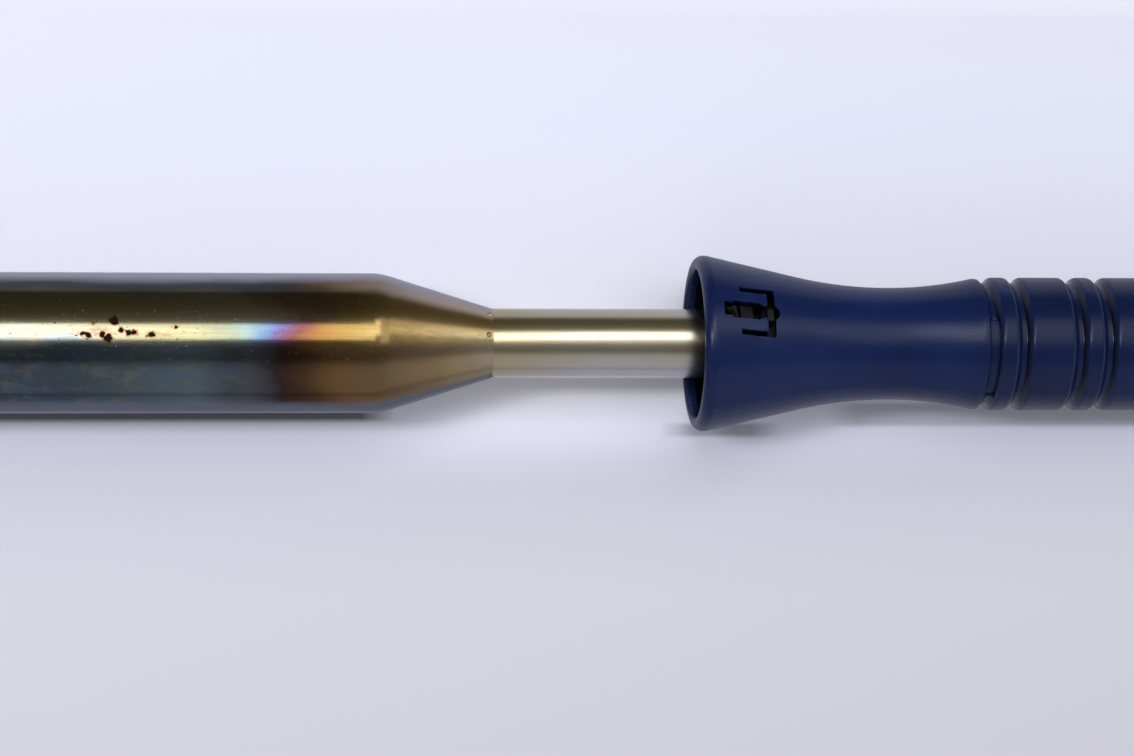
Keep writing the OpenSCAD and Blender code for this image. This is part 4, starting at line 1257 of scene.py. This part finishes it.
@dataclass
class CordBush:
    """The rubber bush in the handle's end, with a rounded lip and two flexing grooves."""

    iron: Iron
    material: bpy.types.Material
    bore: float = 4.25
    neck: float = 6.45
    lip: float = 8.1
    flange: float = 8.8
    wall_x: tuple[float, float] = (139.95, 150.05)
    end: float = 154.0

    def build(self) -> list[bpy.types.Object]:
        """Builds the bush.

        Returns:
            The finished bush.
        """
        inside, outside = self.wall_x
        end, soft = self.end, 0.5
        profile = [(inside - 2.95, self.bore), (end - 0.9, self.bore)]
        profile += arc((end - 0.9, self.bore + 0.9), (0.9, 0.9), 270, 360, 6)[1:]
        profile += arc((end - 0.9, self.neck - 0.9), (0.9, 0.9), 0, 90, 6)
        profile += [(end - 1.1, self.neck), (end - 1.25, self.neck - 0.45), (end - 1.65, self.neck - 0.45),
                    (end - 1.8, self.neck), (end - 2.1, self.neck + 0.3)]
        profile += arc((outside + 0.9, self.lip - 0.6), (0.9, 0.6), 0, 90, 6)
        profile += [(outside + soft, self.lip), (outside, self.lip - soft), (outside, self.neck),
                    (inside, self.neck), (inside, self.flange - soft), (inside - soft, self.flange),
                    (inside - 2.95 + soft, self.flange), (inside - 2.95, self.flange - soft)]
        shape = turn(self.iron.place(profile), Segments.FINE.value, axis_z=self.iron.axis_z)
        bush = link_object("rubber_bush", shape, self.material, 40.0)
        return [hand_in(bush, "cord_inlet_bush")]


@dataclass
class Studio:
    """The camera, the paper floor and the soft lamps."""

    iron: Iron
    aim: tuple[float, float] = (0.0178, -0.008)
    distance: float = 0.645
    lean_deg: float = 5.9
    lens_mm: float = 88.7
    paper_half: float = 1.5
    lamp_reach: float = 0.93
    # Painted contact shadows on the paper: middle and half width along X, middle and half width along Y, and strength
    contact_shadows: tuple = (((-0.079, 0.05), (-0.0163, 0.0012), 0.85), ((0.057, 0.007), (-0.0204, 0.0010), 0.5),
                      ((0.145, 0.055), (-0.0168, 0.0022), 0.35))

    def camera(self) -> None:
        """Sets the camera over the iron, leaning a little towards the handle, as in the photo."""
        data = bpy.data.cameras.new("overhead_camera")
        data.lens = self.lens_mm
        data.sensor_width = 36
        data.clip_start = 0.01
        eye = bpy.data.objects.new("overhead_camera", data)
        lean = math.radians(self.lean_deg)
        eye.location = (self.aim[0] - self.distance * math.sin(lean), self.aim[1],
                        self.iron.axis_z + self.distance * math.cos(lean))
        eye.rotation_euler = (0, -lean, 0)
        bpy.context.scene.collection.objects.link(eye)
        bpy.context.scene.camera = eye

    def floor(self) -> None:
        """Lays a sheet of matt paper with painted light: lighter towards the window side and under the iron, darker far
        off, and painted contact shadows along the iron.
        """
        paint = Paint("matt_paper")
        split = paint.add("ShaderNodeSeparateXYZ", (paint.place,)).node.outputs
        shade = paint.add(RANGE, (split["Y"], -0.3, 0.3))
        # Painted light falloff: the paper is lighter towards the window side and darker far off
        base = paint.add(RAMP, (shade,), stops=[
            (0.0, "b8b8c4"), (0.33, "cdccda"), (0.5, "d9d9e7"), (0.64, "e6e8f8"), (0.8, "c6c8d6"),
            (1.0, "b4b6c2")])
        # A painted pool of light under the iron, which weakens its shadow there
        near = paint.add(RAMP, (shade,), stops=[
            (0.33, "cdccd9"), (0.40, "cfcfdc"), (0.444, "cacad8"), (0.454, "d2d2e3"), (0.462, "e1e1f5"),
            (0.469, "edeeff"), (0.482, "f3f3fe"), (0.517, "e7e8f8"), (0.545, "e4e5f9"), (0.589, "e0e2f7"),
            (0.64, "dee0f1")])
        end = paint.add(MATH, (split["X"],), operation="ABSOLUTE")
        for value, first, last in ((shade, 0.33, 0.34), (shade, 0.64, 0.63), (end, 0.24, 0.17)):
            share = paint.add(RANGE, (value, first, last))
            near = paint.add(MIX, {0: share, 6: base, 7: near}, 2, data_type="RGBA")
        # Painted contact shadows: dark strips on the paper along the iron's underside
        for (x, half_x), (y, half_y), strength in self.contact_shadows:
            share = strength
            for axis, middle, half, soft in (("X", x, half_x, 0.008), ("Y", y, half_y, 0.0011)):
                off = paint.add(MATH, (split[axis], middle), operation="SUBTRACT")
                off = paint.add(MATH, (off,), operation="ABSOLUTE")
                share = paint.add(MATH, (share, paint.add(RANGE, (off, half + soft, half))), operation="MULTIPLY")
            near = paint.add(MIX, {0: share, 6: near, 7: "4a4a52"}, 2, data_type="RGBA")
        paint.dress((paint.grain((2.5, 2.5, 2.5), 3.0), 0.02), Base_Color=near, Roughness=0.9,
                    Specular_IOR_Level=0.2)
        shape = bmesh.new()
        half = self.paper_half
        shape.faces.new([shape.verts.new((x, y, 0))
                         for x, y in ((-half, -half), (half, -half), (half, half), (-half, half))])
        link_object("paper", shape, paint.material)

    def lamp(self, name: str, along: tuple[float, float], across: tuple[float, float], level: float) -> None:
        """Adds a soft box that looks at the iron's axis, straight across it.

        Args:
            name: The lamp's name.
            along: Where it starts and ends along X, in metres.
            across: The angles from straight up towards +Y between which the axis sees it, in degrees.
            level: Its radiance.
        """
        data = bpy.data.lights.new(name, "AREA")
        data.shape = "RECTANGLE"
        middle, half = (math.radians((across[1] + s * across[0]) / 2) for s in (1, -1))
        data.size = along[1] - along[0]
        data.size_y = 2 * self.lamp_reach * math.tan(half)
        data.energy = level * math.pi * data.size * data.size_y
        data.color = srgb("fbfcff")[:3]
        light = bpy.data.objects.new(name, data)
        light.location = ((along[0] + along[1]) / 2, self.lamp_reach * math.sin(middle),
                          self.iron.axis_z + self.lamp_reach * math.cos(middle))
        light.rotation_euler = (-middle, 0, 0)
        bpy.context.scene.collection.objects.link(light)

    def world(self) -> None:
        """A room whose light changes about the X axis, between two end walls."""
        world = bpy.data.worlds.new("room")
        world.use_nodes = True
        tree = world.node_tree
        tree.nodes.clear()
        direction = add_node(tree, "ShaderNodeTexCoord", (), "Generated")
        split = add_node(tree, "ShaderNodeSeparateXYZ", (direction,)).node.outputs
        angle = add_node(tree, MATH, (split["Y"], split["Z"]), operation="ARCTAN2")
        share = add_node(tree, RANGE, (angle, -math.pi, math.pi))
        stops = [(-180, "9b9b9d"), (-50, "9b9b9d"), (-40, "949393"), (-28, "595959"), (-10, "666665"),
                 (-3, "6d6d6d"), (25, "a9a79a"), (31, "8a887a"), (38, "737163"), (45, "666457"),
                 (55, "555346"), (70, "49473b"), (90, "434138"), (97, "5c5b59"), (107, "8a8a8c"),
                 (180, "9b9a9c")]
        glow = add_node(tree, RAMP, (share,), stops=[((d + 180) / 360, code) for d, code in stops])
        aside = add_node(tree, MATH, (split["X"],), operation="ABSOLUTE")
        level = add_node(tree, RANGE, (aside, 0.28, 0.6, 2.0, 2.4))
        room = add_node(tree, "ShaderNodeBackground", (glow, level))
        for side, code, strength in ((-1, "8c8c92", 1.2), (1, "e4e4ea", 1.5)):
            end = add_node(tree, RANGE, (split["X"], 0.66 * side, 0.82 * side))
            wall = add_node(tree, "ShaderNodeBackground", (code, strength))
            room = add_node(tree, "ShaderNodeMixShader", (end, room, wall))
        plain = add_node(tree, "ShaderNodeBackground", ("dfe1ea", 1.0))
        seen = add_node(tree, "ShaderNodeLightPath", (), "Is Camera Ray")
        shown = add_node(tree, "ShaderNodeMixShader", (seen, room, plain))
        add_node(tree, "ShaderNodeOutputWorld", (shown,))
        bpy.context.scene.world = world

    def build(self) -> None:
        """Sets up the whole studio."""
        bpy.context.scene.view_settings.view_transform = "Standard"
        self.camera()
        self.floor()
        self.world()
        self.lamp("key", (-0.85, -0.35), (5.5, 12.5), 24.0)
        self.lamp("window_left", (-0.28, 0.07), (4.9, 30.0), 4.45)
        self.lamp("window_right", (0.07, 0.22), (12.5, 37.5), 4.45)
        self.lamp("window_side", (0.22, 0.57), (0.0, 42.0), 1.25)
        self.lamp("window_end", (0.57, 0.79), (17.0, 46.0), 1.9)


@dataclass
class KeptNodes:
    """The CAD nodes that stay as they are and only get their finish."""

    frame: dict
    finishes: dict[Finish, bpy.types.Material]

    def dress(self) -> None:
        """Gives every CAD node the material of its slot in the record."""
        slots = {part["node"]: part["material_slot"] for part in self.frame["record"]["subparts"]}
        for name, thing in self.frame["nodes"].items():
            thing.data.materials.clear()
            thing.data.materials.append(self.finishes[Finish(slots[name])])
            LOG.info("dressed %s in %s", name, slots[name])


def main() -> None:
    """Builds the camera, the finishes and every piece."""
    logging.basicConfig(level=logging.INFO, format="%(message)s")
    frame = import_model()
    iron = Iron.read()
    Studio(iron).build()
    finishes = make_finishes(iron)
    KeptNodes(frame, finishes).dress()
    handle = Handle(iron, finishes[Finish.HANDLE])
    builders = [
        handle,
        Bushing(handle, finishes[Finish.BUSHING]),
        Barrel(iron, finishes[Finish.STAINLESS], DrawnStainless(iron).make()),
        Nose(iron, finishes),
        CordBush(iron, finishes[Finish.RUBBER]),
    ]
    for builder in builders:
        for piece in builder.build():
            LOG.info("built %s with %d faces", piece.name, len(piece.data.polygons))


if __name__ == "__main__":
    main()
